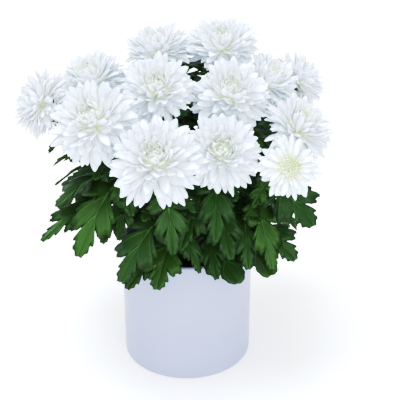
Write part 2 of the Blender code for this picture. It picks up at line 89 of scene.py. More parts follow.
class LeafKind(Enum):
    """The two outlines of leaf: bluntly toothed, or with plain round lobes."""

    TOOTHED = "toothed"
    ROUND = "round"


def unit(vectors: np.ndarray) -> np.ndarray:
    """Gives vectors the length 1.

    Args:
        vectors: Vectors along the last axis.

    Returns:
        The same directions at length 1.
    """
    return vectors / np.linalg.norm(vectors, axis=-1, keepdims=True)


def ease(values: np.ndarray, low: float, high: float) -> np.ndarray:
    """Steps smoothly from 0 to 1: with x the share of the way from low to high, 3 x squared less 2 x cubed.

    Args:
        values: Where to read the step.
        low: The value up to which the step is 0.
        high: The value from which it is 1.

    Returns:
        The step's height at each value.
    """
    share = np.clip((values - low) / (high - low), 0, 1)
    return share * share * (3 - 2 * share)


def turns(count: int) -> np.ndarray:
    """That many angles, evenly round a circle."""
    return np.linspace(0, math.tau, count, endpoint=False)


def hoops(radius: np.ndarray, height: np.ndarray, turn: np.ndarray) -> np.ndarray:
    """Level rings about Z of those radii, at those heights, with a point at each angle."""
    return np.stack(np.broadcast_arrays(radius * np.cos(turn), radius * np.sin(turn), height), axis=-1)


@dataclass
class Shape:
    """The points, faces and per-point values of a piece, gathered part by part."""

    points: list[np.ndarray] = field(default_factory=list)
    triangles: list[np.ndarray] = field(default_factory=list)
    quads: list[np.ndarray] = field(default_factory=list)
    maps: list[np.ndarray] = field(default_factory=list)
    values: dict[str, list[np.ndarray]] = field(default_factory=dict)
    count: int = 0

    def add_tubes(
        self,
        rings: np.ndarray,
        start: np.ndarray,
        end: np.ndarray,
        across: np.ndarray,
        along: np.ndarray,
        **values: np.ndarray,
    ) -> None:
        """Adds closed tubes: quads join each ring to the next, and triangles join the end rings to a pole.

        Args:
            rings: Points, tubes by rings by places round, turning anticlockwise about the way they run.
            start: One pole a tube, before its first ring.
            end: One pole a tube, after its last ring.
            across: The piece's map across, for each place round.
            along: The piece's map along, for each ring.
            **values: Named values, each an array that spreads over tubes by rings by places round.
        """
        tubes, rows, places, _ = rings.shape
        size = rows * places + 2
        block = np.concatenate((rings.reshape(tubes, -1, 3), start[:, None], end[:, None]), axis=1)
        ring_map = np.stack(np.meshgrid(along, across, indexing="ij")[::-1], axis=-1).reshape(-1, 2)
        pole_map = np.array(((across.mean(), along[0]), (across.mean(), along[-1])))
        first = self.count + size * np.arange(tubes)[:, None]
        here = np.arange(places)
        after = (here + 1) % places
        row = places * np.arange(rows - 1)[:, None]
        quads = np.stack((row + here, row + after, row + places + after, row + places + here), axis=-1)
        last = (rows - 1) * places
        low = np.stack((np.full(places, size - 2), after, here), axis=-1)
        high = np.stack((np.full(places, size - 1), last + here, last + after), axis=-1)
        self.points.append(block.reshape(-1, 3))
        self.quads.append((first[:, :, None] + quads.reshape(1, -1, 4)).reshape(-1, 4))
        self.triangles.append((first[:, :, None] + np.concatenate((low, high))[None]).reshape(-1, 3))
        self.maps.append(np.tile(np.concatenate((ring_map, pole_map)), (tubes, 1)))
        for name, value in values.items():
            spread = np.broadcast_to(value, (tubes, rows, places)).reshape(tubes, -1)
            poles = np.stack((spread[:, 0], spread[:, -1]), axis=1)
            self.values.setdefault(name, []).append(np.concatenate((spread, poles), axis=1).ravel())
        self.count += tubes * size

    def piece(self, name: str, finish: bpy.types.Material) -> bpy.types.Object:
        """Makes the piece's object, smooth shaded, at the origin.

        Args:
            name: The object's name.
            finish: Its material.

        Returns:
            The new object, in the scene.
        """
        points, quads = np.concatenate(self.points), np.concatenate(self.quads)
        triangles = np.concatenate(self.triangles)
        corners = np.concatenate((quads.ravel(), triangles.ravel()))
        starts = np.concatenate((4 * np.arange(len(quads)), 4 * len(quads) + 3 * np.arange(len(triangles))))
        mesh = bpy.data.meshes.new(name)
        mesh.vertices.add(len(points))
        mesh.vertices.foreach_set("co", points.astype(np.float32).ravel())
        mesh.loops.add(len(corners))
        mesh.loops.foreach_set("vertex_index", corners.astype(np.int32))
        mesh.polygons.add(len(starts))
        mesh.polygons.foreach_set("loop_start", starts.astype(np.int32))
        mesh.polygons.foreach_set("use_smooth", np.ones(len(starts), bool))
        mesh.update(calc_edges=True)
        layer = mesh.uv_layers.new(name="surface")
        layer.uv.foreach_set("vector", np.concatenate(self.maps)[corners].astype(np.float32).ravel())
        for title, parts in self.values.items():
            attribute = mesh.attributes.new(title, "FLOAT", "POINT")
            attribute.data.foreach_set("value", np.concatenate(parts).astype(np.float32))
        mesh.materials.append(finish)
        made = bpy.data.objects.new(name, mesh)
        bpy.context.scene.collection.objects.link(made)
        log.info("%s: %d points, %d faces", name, len(points), len(starts))
        return made


def seat_piece(piece: bpy.types.Object, node: str) -> None:
    """Makes a piece ride on the body and stand for its node, which it hides.

    Args:
        piece: The piece.
        node: The node that it replaces.
    """
    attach(piece, BODY)
    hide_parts(node)


class Part:
    """What becomes one piece and stands for one node: the titles are the piece's and the node's names, which
    the mark ends, and the slot."""

    titles = ("", "", "")
    mark = ""

    def shape(self) -> Shape:
        """The piece's points and faces, which each part makes in its own way."""
        raise NotImplementedError

    def build(self, finish: bpy.types.Material) -> None:
        """Makes the piece and seats it on its node.

        Args:
            finish: The piece's material.
        """
        name, node, slot = self.titles
        piece = self.shape().piece(name + self.mark, finish)
        seat_piece(piece, node + self.mark)


class Recipe:
    """Puts the nodes of one material together around its Principled shader."""

    def __init__(self, name: str) -> None:
        """Starts a material.

        Args:
            name: The material's name.
        """
        self.material = bpy.data.materials.new(name)
        self.material.use_nodes = True
        self.nodes = self.material.node_tree.nodes
        self.links = self.material.node_tree.links
        self.shader = self.nodes["Principled BSDF"]

    def node(self, kind: str, settings: dict, inputs: dict) -> bpy.types.Node:
        """Adds a node.

        Args:
            kind: The node's type.
            settings: Its own properties.
            inputs: Its sockets by name or number, each a number, a colour or another node's output.

        Returns:
            The new node.
        """
        made = self.nodes.new(kind)
        for name, value in settings.items():
            setattr(made, name, value)
        self.feed(made, inputs)
        return made

    def feed(self, node: bpy.types.Node, inputs: dict) -> None:
        """Links or sets a node's sockets.

        Args:
            node: The node.
            inputs: Its sockets by name or number, each a number, a colour or another node's output.
        """
        for name, value in inputs.items():
            if isinstance(value, bpy.types.NodeSocket):
                self.links.new(value, node.inputs[name])
            else:
                node.inputs[name].default_value = value

    def sum(self, operation: str, first: Feed, second: Feed = 0.0) -> Socket:
        """One step of arithmetic on one or two numbers or sockets."""
        return self.node("ShaderNodeMath", {"operation": operation}, {0: first, 1: second}).outputs[0]

    def times(self, first: Feed, second: Feed) -> Socket:
        """The product of two numbers or sockets."""
        return self.sum("MULTIPLY", first, second)

    def apart(self, first: Feed, second: Feed) -> Socket:
        """How far two numbers or sockets are apart."""
        return self.sum("ABSOLUTE", self.sum("SUBTRACT", first, second))

    def blend(self, share: Feed, first: Feed, second: Feed) -> Socket:
        """The colour that is first at share 0 and second at share 1."""
        settings = {"data_type": "RGBA", "clamp_factor": True}
        return self.node("ShaderNodeMix", settings, {0: share, 6: first, 7: second}).outputs[2]

    def step(self, value: Feed, low: float, high: float, bottom: float = 0.0, top: float = 1.0) -> Socket:
        """A smooth step.

        Args:
            value: Where to read it.
            low: The value up to which it gives the bottom.
            high: The value from which it gives the top.
            bottom: What it gives below.
            top: What it gives above.

        Returns:
            What it gives at the value.
        """
        settings = {"interpolation_type": "SMOOTHSTEP"}
        inputs = {"Value": value, "From Min": low, "From Max": high, "To Min": bottom, "To Max": top}
        return self.node("ShaderNodeMapRange", settings, inputs).outputs["Result"]

    def noise(self, scale: float, detail: float = 2.0, roughness: float = 0.5) -> Socket:
        """Noise in object space.

        Args:
            scale: How fine it is, in cycles a metre.
            detail: How many finer layers it has.
            roughness: How strong each is beside the one before.

        Returns:
            The noise.
        """
        where = self.node("ShaderNodeTexCoord", {}, {}).outputs["Object"]
        inputs = {"Vector": where, "Scale": scale, "Detail": detail, "Roughness": roughness}
        return self.node("ShaderNodeTexNoise", {}, inputs).outputs["Fac"]

    def value(self, name: str) -> Socket:
        """One of the piece's own per-point values."""
        return self.node("ShaderNodeAttribute", {"attribute_name": name}, {}).outputs["Fac"]

    def surface(self) -> tuple[Socket, Socket]:
        """Reads the piece's own map.

        Returns:
            The places across and along.
        """
        place = self.node("ShaderNodeUVMap", {"uv_map": "surface"}, {}).outputs["UV"]
        split = self.node("ShaderNodeSeparateXYZ", {}, {0: place})
        return split.outputs["X"], split.outputs["Y"]

    def relief(self, height: Feed, depth: float, strength: float) -> Socket:
        """A bump of that depth in metres."""
        inputs = {"Height": height, "Distance": depth, "Strength": strength}
        return self.node("ShaderNodeBump", {}, inputs).outputs["Normal"]

    def finish(self, **inputs: Feed) -> bpy.types.Material:
        """Sets the shader's sockets, with underscores for spaces, and gives the material."""
        self.feed(self.shader, {name.replace("_", " "): value for name, value in inputs.items()})
        return self.material


@dataclass(frozen=True)
class PetalFinish:
    """Matte white petal, yellow-green towards its root, with fine veins along it. Its colour holds painted
    light
    and shade: the bluish grey towards the tip is painted shade, and the whiter base near the root is painted
    light among the shaded petals. Its faint glow is painted light as well: it stands for the light that
    comes through real petals, lifts the shade on all of them, and is stronger at the tinted roots of the
    inner petals and near the eye."""

    # tip and cloud are bluish grey, painted shade towards the tip; base is whiter, painted light near the
    # root among the shaded petals.
    tip: tuple = (0.77, 0.845, 0.95, 1)
    cloud: tuple = (0.74, 0.825, 0.94, 1)
    base: tuple = (0.93, 0.95, 0.94, 1)
    root: tuple = (0.82, 0.89, 0.46, 1)
    # glow and faint are emission colours, both painted light: faint over every petal, glow at the tinted
    # roots.
    glow: tuple = (0.74, 0.83, 0.48, 1)
    faint: tuple = (0.12, 0.15, 0.175, 1)
    painted_glow_strength: float = 0.28
    veins: float = 6.0
    vein_depth: float = 0.00005

    def build(self) -> bpy.types.Material:
        """Makes the material.

        Returns:
            The material.
        """
        recipe = Recipe("petal_finish")
        across, along = recipe.surface()
        wave = recipe.sum("COSINE", recipe.times(across, self.veins * math.tau))
        mottle = recipe.step(recipe.noise(90, 3), 0.35, 0.7, 0.0, 0.5)
        blade = recipe.blend(mottle, self.tip, self.cloud)
        # Painted light and shade: whiter near the root, bluish grey towards the tip.
        blade = recipe.blend(recipe.step(along, 0.15, 0.95), self.base, blade)
        colour = recipe.blend(recipe.value("tint"), blade, self.root)
        # Painted light: the glow's share, strongest at the roots of tinted petals and gone by 0.85 of their
        # length.
        painted_crease_light = recipe.times(recipe.value("tint"), recipe.step(along, 0.0, 0.85, 1.0, 0.0))
        return recipe.finish(
            Base_Color=colour,
            Roughness=0.55,
            Specular_IOR_Level=0.3,
            Subsurface_Weight=0.3,
            Subsurface_Radius=(1.0, 1.0, 1.0),
            Subsurface_Scale=0.002,
            Sheen_Weight=0.6,
            Sheen_Roughness=0.4,
            # The emission is painted light, which lifts the shade among the petals.
            Emission_Color=recipe.blend(painted_crease_light, self.faint, self.glow),
            Emission_Strength=self.painted_glow_strength,
            Normal=recipe.relief(wave, self.vein_depth, 0.5),
        )


@dataclass(frozen=True)
class LeafFinish:
    """Satin green leaf: darker between pale veins, greyer beneath, yellower when young."""

    old: tuple = (0.019, 0.067, 0.006, 1)
    edge: tuple = (0.015, 0.053, 0.010, 1)
    fresh: tuple = (0.031, 0.086, 0.010, 1)
    vein: tuple = (0.085, 0.18, 0.045, 1)
    beneath: tuple = (0.048, 0.098, 0.038, 1)
    side_veins: tuple = (0.273, 0.62, 0.84)
    small_veins: float = 26.0

    def build(self) -> bpy.types.Material:
        """Makes the material.

        Returns:
            The material.
        """
        recipe = Recipe("leaf_finish")
        across, along = recipe.surface()
        off_rib = recipe.apart(across, 0.5)
        rib = recipe.step(off_rib, 0.01, 0.035, 1.0, 0.0)
        rib = recipe.times(rib, recipe.step(along, 0.7, 1.0, 1.0, 0.2))
        near = 1.0
        for place in self.side_veins:
            near = recipe.sum("MINIMUM", recipe.apart(along, place), near)
        side = recipe.step(near, 0.002, 0.009, 1.0, 0.0)
        side = recipe.times(side, recipe.step(off_rib, 0.1, 0.48, 0.75, 0.1))
        share = recipe.sum("FRACT", recipe.times(along, self.small_veins))
        small = recipe.step(recipe.apart(share, 0.5), 0.0, 0.12, 0.16, 0.0)
        small = recipe.times(small, recipe.step(off_rib, 0.12, 0.3))
        veins = recipe.sum("MAXIMUM", rib, recipe.sum("MAXIMUM", side, small))
        dark = recipe.sum("ADD", recipe.step(off_rib, 0.1, 0.5, 0.0, 0.6), recipe.noise(70, 4))
        blade = recipe.blend(recipe.step(dark, 0.4, 0.95), self.old, self.edge)
        blade = recipe.blend(recipe.value("youth"), blade, self.fresh)
        top = recipe.blend(veins, blade, self.vein)
        pale = recipe.blend(recipe.times(veins, 0.5), self.beneath, self.vein)
        colour = recipe.blend(recipe.value("beneath"), top, pale)
        cells = recipe.sum("SUBTRACT", recipe.noise(900, 3), recipe.times(veins, 1.2))
        return recipe.finish(
            Base_Color=colour,
            Roughness=recipe.step(recipe.noise(160, 2), 0.3, 0.7, 0.4, 0.55),
            Specular_IOR_Level=0.33,
            Normal=recipe.relief(cells, 0.0003, 0.5),
        )


@dataclass(frozen=True)
class GlazeFinish:
    """Satin bluish-white glaze with the faint unevenness of a dipped pot."""

    colour: tuple = (0.338, 0.375, 0.535, 1)
    cloud: tuple = (0.323, 0.361, 0.52, 1)

    def build(self) -> bpy.types.Material:
        """Makes the material.

        Returns:
            The material.
        """
        recipe = Recipe("glaze_finish")
        return recipe.finish(
            Base_Color=recipe.blend(recipe.step(recipe.noise(14, 2), 0.35, 0.65), self.colour, self.cloud),
            Roughness=recipe.step(recipe.noise(45, 3), 0.3, 0.7, 0.34, 0.42),
            Specular_IOR_Level=0.25,
            Coat_Weight=0.06,
            Coat_Roughness=0.3,
            Normal=recipe.relief(recipe.noise(30, 2), 0.0004, 0.25),
        )


@dataclass(frozen=True)
class PlasticFinish:
    """Black moulded plastic, scuffed and a little dusty."""

    black: tuple = (0.012, 0.012, 0.013, 1)
    dust: tuple = (0.05, 0.045, 0.04, 1)

    def build(self) -> bpy.types.Material:
        """Makes the material.

        Returns:
            The material.
        """
        recipe = Recipe("plastic_finish")
        dusty = recipe.step(recipe.noise(60, 5, 0.7), 0.5, 0.8)
        return recipe.finish(
            Base_Color=recipe.blend(dusty, self.black, self.dust),
            Roughness=recipe.step(recipe.noise(120, 4), 0.3, 0.7, 0.38, 0.6),
            Normal=recipe.relief(recipe.noise(700, 2), 0.0001, 0.4),
        )


@dataclass(frozen=True)
class PeatFinish:
    """Moist dark peat with paler dry fibres."""

    moist: tuple = (0.018, 0.011, 0.007, 1)
    dry: tuple = (0.075, 0.048, 0.03, 1)
    fibre: tuple = (0.2, 0.15, 0.1, 1)

    def build(self) -> bpy.types.Material:
        """Makes the material.

        Returns:
            The material.
        """
        recipe = Recipe("peat_finish")
        ground = recipe.blend(recipe.step(recipe.noise(220, 6, 0.7), 0.4, 0.68), self.moist, self.dry)
        fibres = recipe.step(recipe.noise(900, 2), 0.64, 0.72, 0.0, 0.7)
        return recipe.finish(
            Base_Color=recipe.blend(fibres, ground, self.fibre),
            Roughness=0.95,
            Specular_IOR_Level=0.2,
            Normal=recipe.relief(recipe.noise(600, 6, 0.7), 0.0012, 0.9),
        )


@dataclass(frozen=True)
class PotSizes:
    """Sizes of the pots and the soil, in millimetres, that the frame's boxes don't give."""

    wall: float = 4.5
    floor: float = 7.0
    edge: float = 2.0
    grow_top_radius: float = 62.0
    grow_base_radius: float = 48.0
    grow_wall: float = 1.4
    grow_top: float = 129.0
    grow_rim: float = 2.0
    grow_rim_depth: float = 7.0
    soil_edge: float = 120.0
    soil_mound: float = 4.0
    clear: float = 0.3

    def soil_height(self, distance: float) -> float:
        """The height of the soil's mound at a distance from the axis, both in metres."""
        share = distance / (self.grow_top_radius * MM)
        return (self.soil_edge + self.soil_mound * (1 - share**2)) * MM


POT = PotSizes()


@dataclass(frozen=True)
class Plant:
    """One flowering stem: its bloom's middle and diameter in millimetres, its lean and way in degrees."""

    name: str
    x: float
    y: float
    z: float
    diameter: float
    lean: float
    way: float
    form: BloomForm = BloomForm.DOUBLE

    head_depth = 12 * MM
    stem_spread = 0.27
    hole_depth = 22 * MM
    cup_depth = 6 * MM
    upright = 0.6
    above_soil = 1 * MM
    off_plumb = np.array((0.1, 0, 0))

    @property
    def middle(self) -> np.ndarray:
        """The middle of the bloom."""
        return np.array((self.x, self.y, self.z)) * MM

    @property
    def radius(self) -> float:
        """The bloom's radius in metres."""
        return self.diameter * MM / 2

    @property
    def axis(self) -> np.ndarray:
        """The way that the bloom faces."""
        tilt, turn = math.radians(self.lean), math.radians(self.way)
        return np.array((math.sin(tilt) * math.cos(turn), math.sin(tilt) * math.sin(turn), math.cos(tilt)))

    @property
    def seat(self) -> np.ndarray:
        """Where the bloom sits on its green cup."""
        return self.middle - self.axis * self.head_depth

    @property
    def ground(self) -> np.ndarray:
        """Where the stem leaves the soil."""
        x, y = self.middle[:2] * self.stem_spread
        return np.array((x, y, POT.soil_height(math.hypot(x, y)) + self.above_soil))

    @property
    def base(self) -> np.ndarray:
        """The stem's foot, in its hole."""
        return self.ground - UP * self.hole_depth

    def turn_frame(self) -> np.ndarray:
        """The bloom's own axes as the columns of a matrix: two across it and the third the way it faces."""
        side = unit(np.cross(self.axis, UP + self.off_plumb))
        return np.stack((side, np.cross(self.axis, side), self.axis), axis=1)

    def line(self, share: np.ndarray, bend: tuple[float, float]) -> np.ndarray:
        """The stem's middle line: a cubic from the ground, share 0, to below the cup, share 1.

        Args:
            share: Shares of the way, any array.
            bend: How long the cubic's two handles are, as shares of the straight way.

        Returns:
            A point for each share.
        """
        start = self.ground
        end = self.seat - self.axis * (self.cup_depth + POT.clear * MM)
        reach = np.linalg.norm(end - start)
        straight = (end - start) / reach
        low = start + unit(straight + (UP - straight) * self.upright) * reach * bend[0]
        high = end - self.axis * reach * bend[1]
        b = np.asarray(share, float)[..., None]
        a = 1 - b
        return start * a**3 + low * (3 * a * a * b) + high * (3 * a * b * b) + end * b**3


PLANTS = (
    Plant("01", -26, -108, 275, 98, 38, -98),
    Plant("02", 35, -70, 268, 88, 50, -88),
    Plant("03", 98, -95, 263, 66, 58, -82, BloomForm.OPEN),
    Plant("04", 111, -35, 279, 84, 34, -30),
    Plant("05", 44, -15, 306, 92, 34, -90),
    Plant("06", 84, 30, 303, 82, 30, -30),
    Plant("07", 124, 82, 289, 74, 52, 14),
    Plant("08", 38, 55, 334, 90, 22, -100),
    Plant("09", -30, 60, 328, 84, 14, -170),
    Plant("10", -28, -20, 312, 88, 36, -96),
    Plant("11", -98, 35, 303, 84, 26, -150),
    Plant("12", -87, -60, 294, 98, 36, -112),
    Plant("13", -146, -15, 297, 80, 58, -172),
    Plant("14", -146, 62, 262, 70, 56, 158),
    Plant("15", -96, 112, 270, 76, 48, 128),
    Plant("16", -28, 128, 286, 80, 44, 100),
    Plant("17", 42, 130, 284, 80, 46, 78),
    Plant("18", 100, 142, 258, 68, 56, 50),
)


@dataclass
class PlantPart(Part):
    """A part of one plant. Its number sets its random draws."""

    plant: Plant
    number: int

    @property
    def mark(self) -> str:
        """The plant's name, which ends the names of its pieces and nodes."""
        return self.plant.name


@dataclass(frozen=True)
class BloomShape:
    """How petals change from a bloom's rim, share 0, to its eye, share 1: lengths in millimetres, slopes in
    degrees, reach as a share of the bloom's radius."""

    petals: int
    share: tuple
    reach: tuple
    root_radius: tuple
    root_height: tuple
    root_slope: tuple
    tip_slope: tuple
    width: tuple
    cup: tuple
    tint: tuple
    core: float
    core_tint: float

    def at(self, name: str, share: np.ndarray) -> np.ndarray:
        """Reads one of the columns at shares of the way from rim to eye."""
        return np.interp(share, self.share, getattr(self, name))


BLOOM_SHAPES = {
    BloomForm.DOUBLE: BloomShape(
        petals=215,
        share=(0.0, 0.13, 0.26, 0.41, 0.56, 0.69, 0.82, 0.91, 1.0),
        reach=(0.98, 0.96, 0.92, 0.84, 0.73, 0.58, 0.41, 0.30, 0.20),
        root_radius=(7.2, 7.0, 6.6, 6.2, 5.6, 5.0, 4.2, 3.0, 0.4),
        root_height=(3.5, 5.0, 6.5, 8.5, 10.5, 12.5, 14.5, 16.0, 17.5),
        root_slope=(0, 4, 10, 18, 28, 40, 54, 68, 88),
        tip_slope=(-28, -20, -4, 20, 50, 80, 106, 118, 110),
        width=(9.4, 10.0, 10.8, 11.2, 10.8, 9.6, 7.4, 5.0, 3.0),
        cup=(0.10, 0.12, 0.15, 0.20, 0.26, 0.32, 0.4, 0.5, 0.7),
        tint=(0.2, 0.25, 0.35, 0.45, 0.6, 0.8, 1.0, 1.0, 1.0),
        core=0.62,
        core_tint=0.42,
    ),
    BloomForm.OPEN: BloomShape(
        petals=145,
        share=(0.0, 0.1, 0.2, 0.29, 0.36, 0.42, 0.6, 0.8, 1.0),
        reach=(1.0, 0.97, 0.9, 0.8, 0.66, 0.36, 0.28, 0.22, 0.18),
        root_radius=(8.6, 8.6, 8.8, 8.8, 8.6, 8.0, 6.4, 4.0, 0.4),
        root_height=(3.5, 5.0, 6.2, 7.0, 7.4, 8.0, 9.6, 11.2, 12.0),
        root_slope=(2, 8, 16, 24, 32, 44, 58, 74, 88),
        tip_slope=(-14, -6, 4, 14, 34, 88, 112, 120, 110),
        width=(7.6, 7.6, 7.4, 6.8, 5.6, 3.6, 3.0, 2.6, 2.2),
        cup=(0.08, 0.1, 0.15, 0.2, 0.3, 0.8, 0.9, 0.9, 0.9),
        tint=(0.1, 0.12, 0.2, 0.3, 0.5, 0.9, 1.0, 1.0, 1.0),
        core=0.33,
        core_tint=0.8,
    ),
}


@dataclass(frozen=True)
class PetalSection:
    """Where a petal is sampled along and round it, and how thick it is."""

    rows: tuple = (0.0, 0.2, 0.4, 0.58, 0.74, 0.87, 0.96)
    round: tuple = (1, 0.55, 0, -0.55, -1, -0.4, 0.4)
    face: tuple = (0, 1, 1, 1, 0, -1, -1)
    thickness: float = 0.45 * MM
    narrow: float = 0.5
    widest: float = 0.6
    tip_power: float = 2.0
    tip_round: float = 0.7
    tip_lift: float = 0.3
    ridge: float = 0.05
    ridge_pitch: float = 2.2
    edge_thinning: float = 0.9
    root_cup: float = 0.5
    more_cup: float = 0.7
    hook_start: float = 0.65


@dataclass
class Petals:
    """Petals in a bloom's own frame, with one entry a petal in every array. Slopes are in radians."""

    turn: np.ndarray
    root_radius: np.ndarray
    root_height: np.ndarray
    root_slope: np.ndarray
    tip_slope: np.ndarray
    length: np.ndarray
    width: np.ndarray
    cup: np.ndarray
    roll: np.ndarray
    swerve: np.ndarray
    hook: np.ndarray
    section: PetalSection = PetalSection()

    def ways(self) -> tuple[np.ndarray, np.ndarray]:
        """The directions out from the bloom's axis and round it, for each petal."""
        cosine, sine, none = np.cos(self.turn), np.sin(self.turn), np.zeros_like(self.turn)
        return np.stack((cosine, sine, none), axis=-1), np.stack((-sine, cosine, none), axis=-1)

    def slopes(self, share: np.ndarray) -> np.ndarray:
        """How steep a petal is: it turns evenly, and its tip hooks further.

        Args:
            share: Shares of its length.

        Returns:
            Slopes, petals by shares.
        """
        change = (self.tip_slope - self.root_slope)[:, None] * share
        hooked = self.hook[:, None] * ease(share, self.section.hook_start, 1.0)
        return self.root_slope[:, None] + change + hooked

    def run(self) -> np.ndarray:
        """The way from each petal's root to its rows and its tip, for a petal of length 1: the sum of short
        steps, each along the slope at its middle.

        Returns:
            Offsets, petals by rows and the tip by x, y, z.
        """
        shares = np.append(self.section.rows, 1.0)
        steps = np.diff(shares)
        slope = self.slopes(shares[:-1] + steps / 2)
        start = np.zeros((len(self.turn), 1))
        out = np.concatenate((start, np.cumsum(np.cos(slope) * steps, axis=1)), axis=1)
        rise = np.concatenate((start, np.cumsum(np.sin(slope) * steps, axis=1)), axis=1)
        outward, around = self.ways()
        aside = self.swerve[:, None] * shares**2
        return out[..., None] * outward[:, None] + rise[..., None] * UP + aside[..., None] * around[:, None]

    def roots(self) -> np.ndarray:
        """Where each petal starts."""
        outward, _ = self.ways()
        return outward * self.root_radius[:, None] + UP * self.root_height[:, None]

    def half_width(self) -> np.ndarray:
        """Half the petal's width: it eases out to its widest place and then rounds off to its tip, as one
        less a power of the share of the way gone.

        Returns:
            Half widths, petals by rows.
        """
        section = self.section
        share = np.array(section.rows)
        widening = section.narrow + (1 - section.narrow) * ease(share, 0.0, section.widest)
        beyond = np.clip((share - section.widest) / (1 - section.widest), 0, 1)
        return self.width[:, None] / 2 * widening * (1 - beyond**section.tip_power) ** section.tip_round

    def add_to(self, shape: Shape, turn_frame: np.ndarray, seat: np.ndarray, **values: np.ndarray) -> None:
        """Adds the petals to a piece.

        Args:
            shape: The piece.
            turn_frame: The bloom's axes as columns.
            seat: The bloom's seat.
            **values: Named values that spread over petals by rows by places round.
        """
        section = self.section
        share, place = np.array(section.rows), np.array(section.round)
        outward, around = self.ways()
        run = self.run() * self.length[:, None, None] + self.roots()[:, None]
        slope = self.slopes(share)
        above = UP * np.cos(slope)[..., None] - outward[:, None] * np.sin(slope)[..., None]
        cosine, sine = np.cos(self.roll)[:, None, None], np.sin(self.roll)[:, None, None]
        side = around[:, None] * cosine + above * sine
        above = above * cosine - around[:, None] * sine
        half = self.half_width()
        bowl = self.cup[:, None, None] * (section.root_cup + section.more_cup * share)[:, None] * place**2
        ridges = section.ridge * np.cos(place * section.ridge_pitch * math.pi) * (1 - place**2)
        skin = section.thickness / 2 * np.array(section.face) * np.sqrt(1 - section.edge_thinning * place**2)
        over = (bowl + ridges) * half[..., None] + skin
        rings = run[:, :-1, None] + side[:, :, None] * (half[..., None] * place)[..., None]
        rings = rings + above[:, :, None] * over[..., None]
        tip = run[:, -1] + above[:, -1] * (self.cup * half[:, -1] * section.tip_lift)[:, None]
        shape.add_tubes(
            rings @ turn_frame.T + seat,
            run[:, 0] @ turn_frame.T + seat,
            tip @ turn_frame.T + seat,
            (place + 1) / 2,
            share,
            **values,
        )


@dataclass(frozen=True)
class Gap:
    """A gap between blooms through which the photograph shows dark leaves: a tube along the line of sight
    from the camera's eye, by its middle and radius in millimetres, that petals keep out of."""

    middle: tuple
    radius: float

    eye = np.array((0.0143, -0.896, 0.625))

    def room(self, roots: np.ndarray, ways: np.ndarray) -> np.ndarray:
        """How long petals may be: each is taken as straight, and ends where its line, seen along the tube,
        first meets the circle, at the smaller root of a quadratic.

        Args:
            roots: Where the petals start.
            ways: Where a petal of length 1 ends, from its root.

        Returns:
            The greatest length of each petal.
        """
        middle = np.array(self.middle) * MM
        view = unit(middle - self.eye)
        away = roots - middle
        away = away - np.outer(away @ view, view)
        ways = ways - np.outer(ways @ view, view)
        square = (ways**2).sum(axis=1)
        slope = (ways * away).sum(axis=1)
        rest = slope**2 - square * ((away**2).sum(axis=1) - (self.radius * MM) ** 2)
        meets = (rest > 0) & (slope < 0)
        return np.where(meets, (-slope - np.sqrt(np.maximum(rest, 0))) / square, np.inf)


GAPS = (
    Gap((13, 0, 323), 12.0),
    Gap((-1, -20, 283), 9.5),
    Gap((75, -40, 277), 10.5),
)


def dividing_planes(plant: Plant) -> tuple[np.ndarray, np.ndarray]:
    """The planes that part a bloom from its neighbours, and the sides of the frame's box.

    Between two neighbours a plane passes through the point that shares their distance as their radii do, and
    through the middle between their stems' feet.

    Args:
        plant: The bloom's plant.

    Returns:
        A point on each plane, moved out by how far petals may pass it, and its normal, out of the bloom.
    """
    overlap, inset = 3 * MM, 1.2 * MM
    points, normals = [], []
    for other in PLANTS:
        if other is plant:
            continue
        high = plant.middle + (other.middle - plant.middle) * plant.radius / (plant.radius + other.radius)
        line = unit(high - (plant.base + other.base) / 2)
        across = other.middle - plant.middle
        normal = unit(across - line * across.dot(line))
        points.append(high + normal * overlap)
        normals.append(normal)
    for axis in np.eye(3):
        points += [CAD_LOW + inset, CAD_HIGH - inset]
        normals += [-axis, axis]
    return np.array(points), np.array(normals)


@dataclass(frozen=True)
class Variation:
    """How petals differ from one another: spreads, with slopes in degrees, and ranges to multiply by."""

    turn: float = 0.13
    root_slope: float = 4.0
    tip_slope: float = 12.0
    length: tuple = (0.82, 1.05)
    width: tuple = (0.82, 1.12)
    cup: float = 0.07
    roll: float = 0.3
    swerve: float = 0.09
    hook: float = 17.0
    ragged: tuple = (1.0, 1.3)


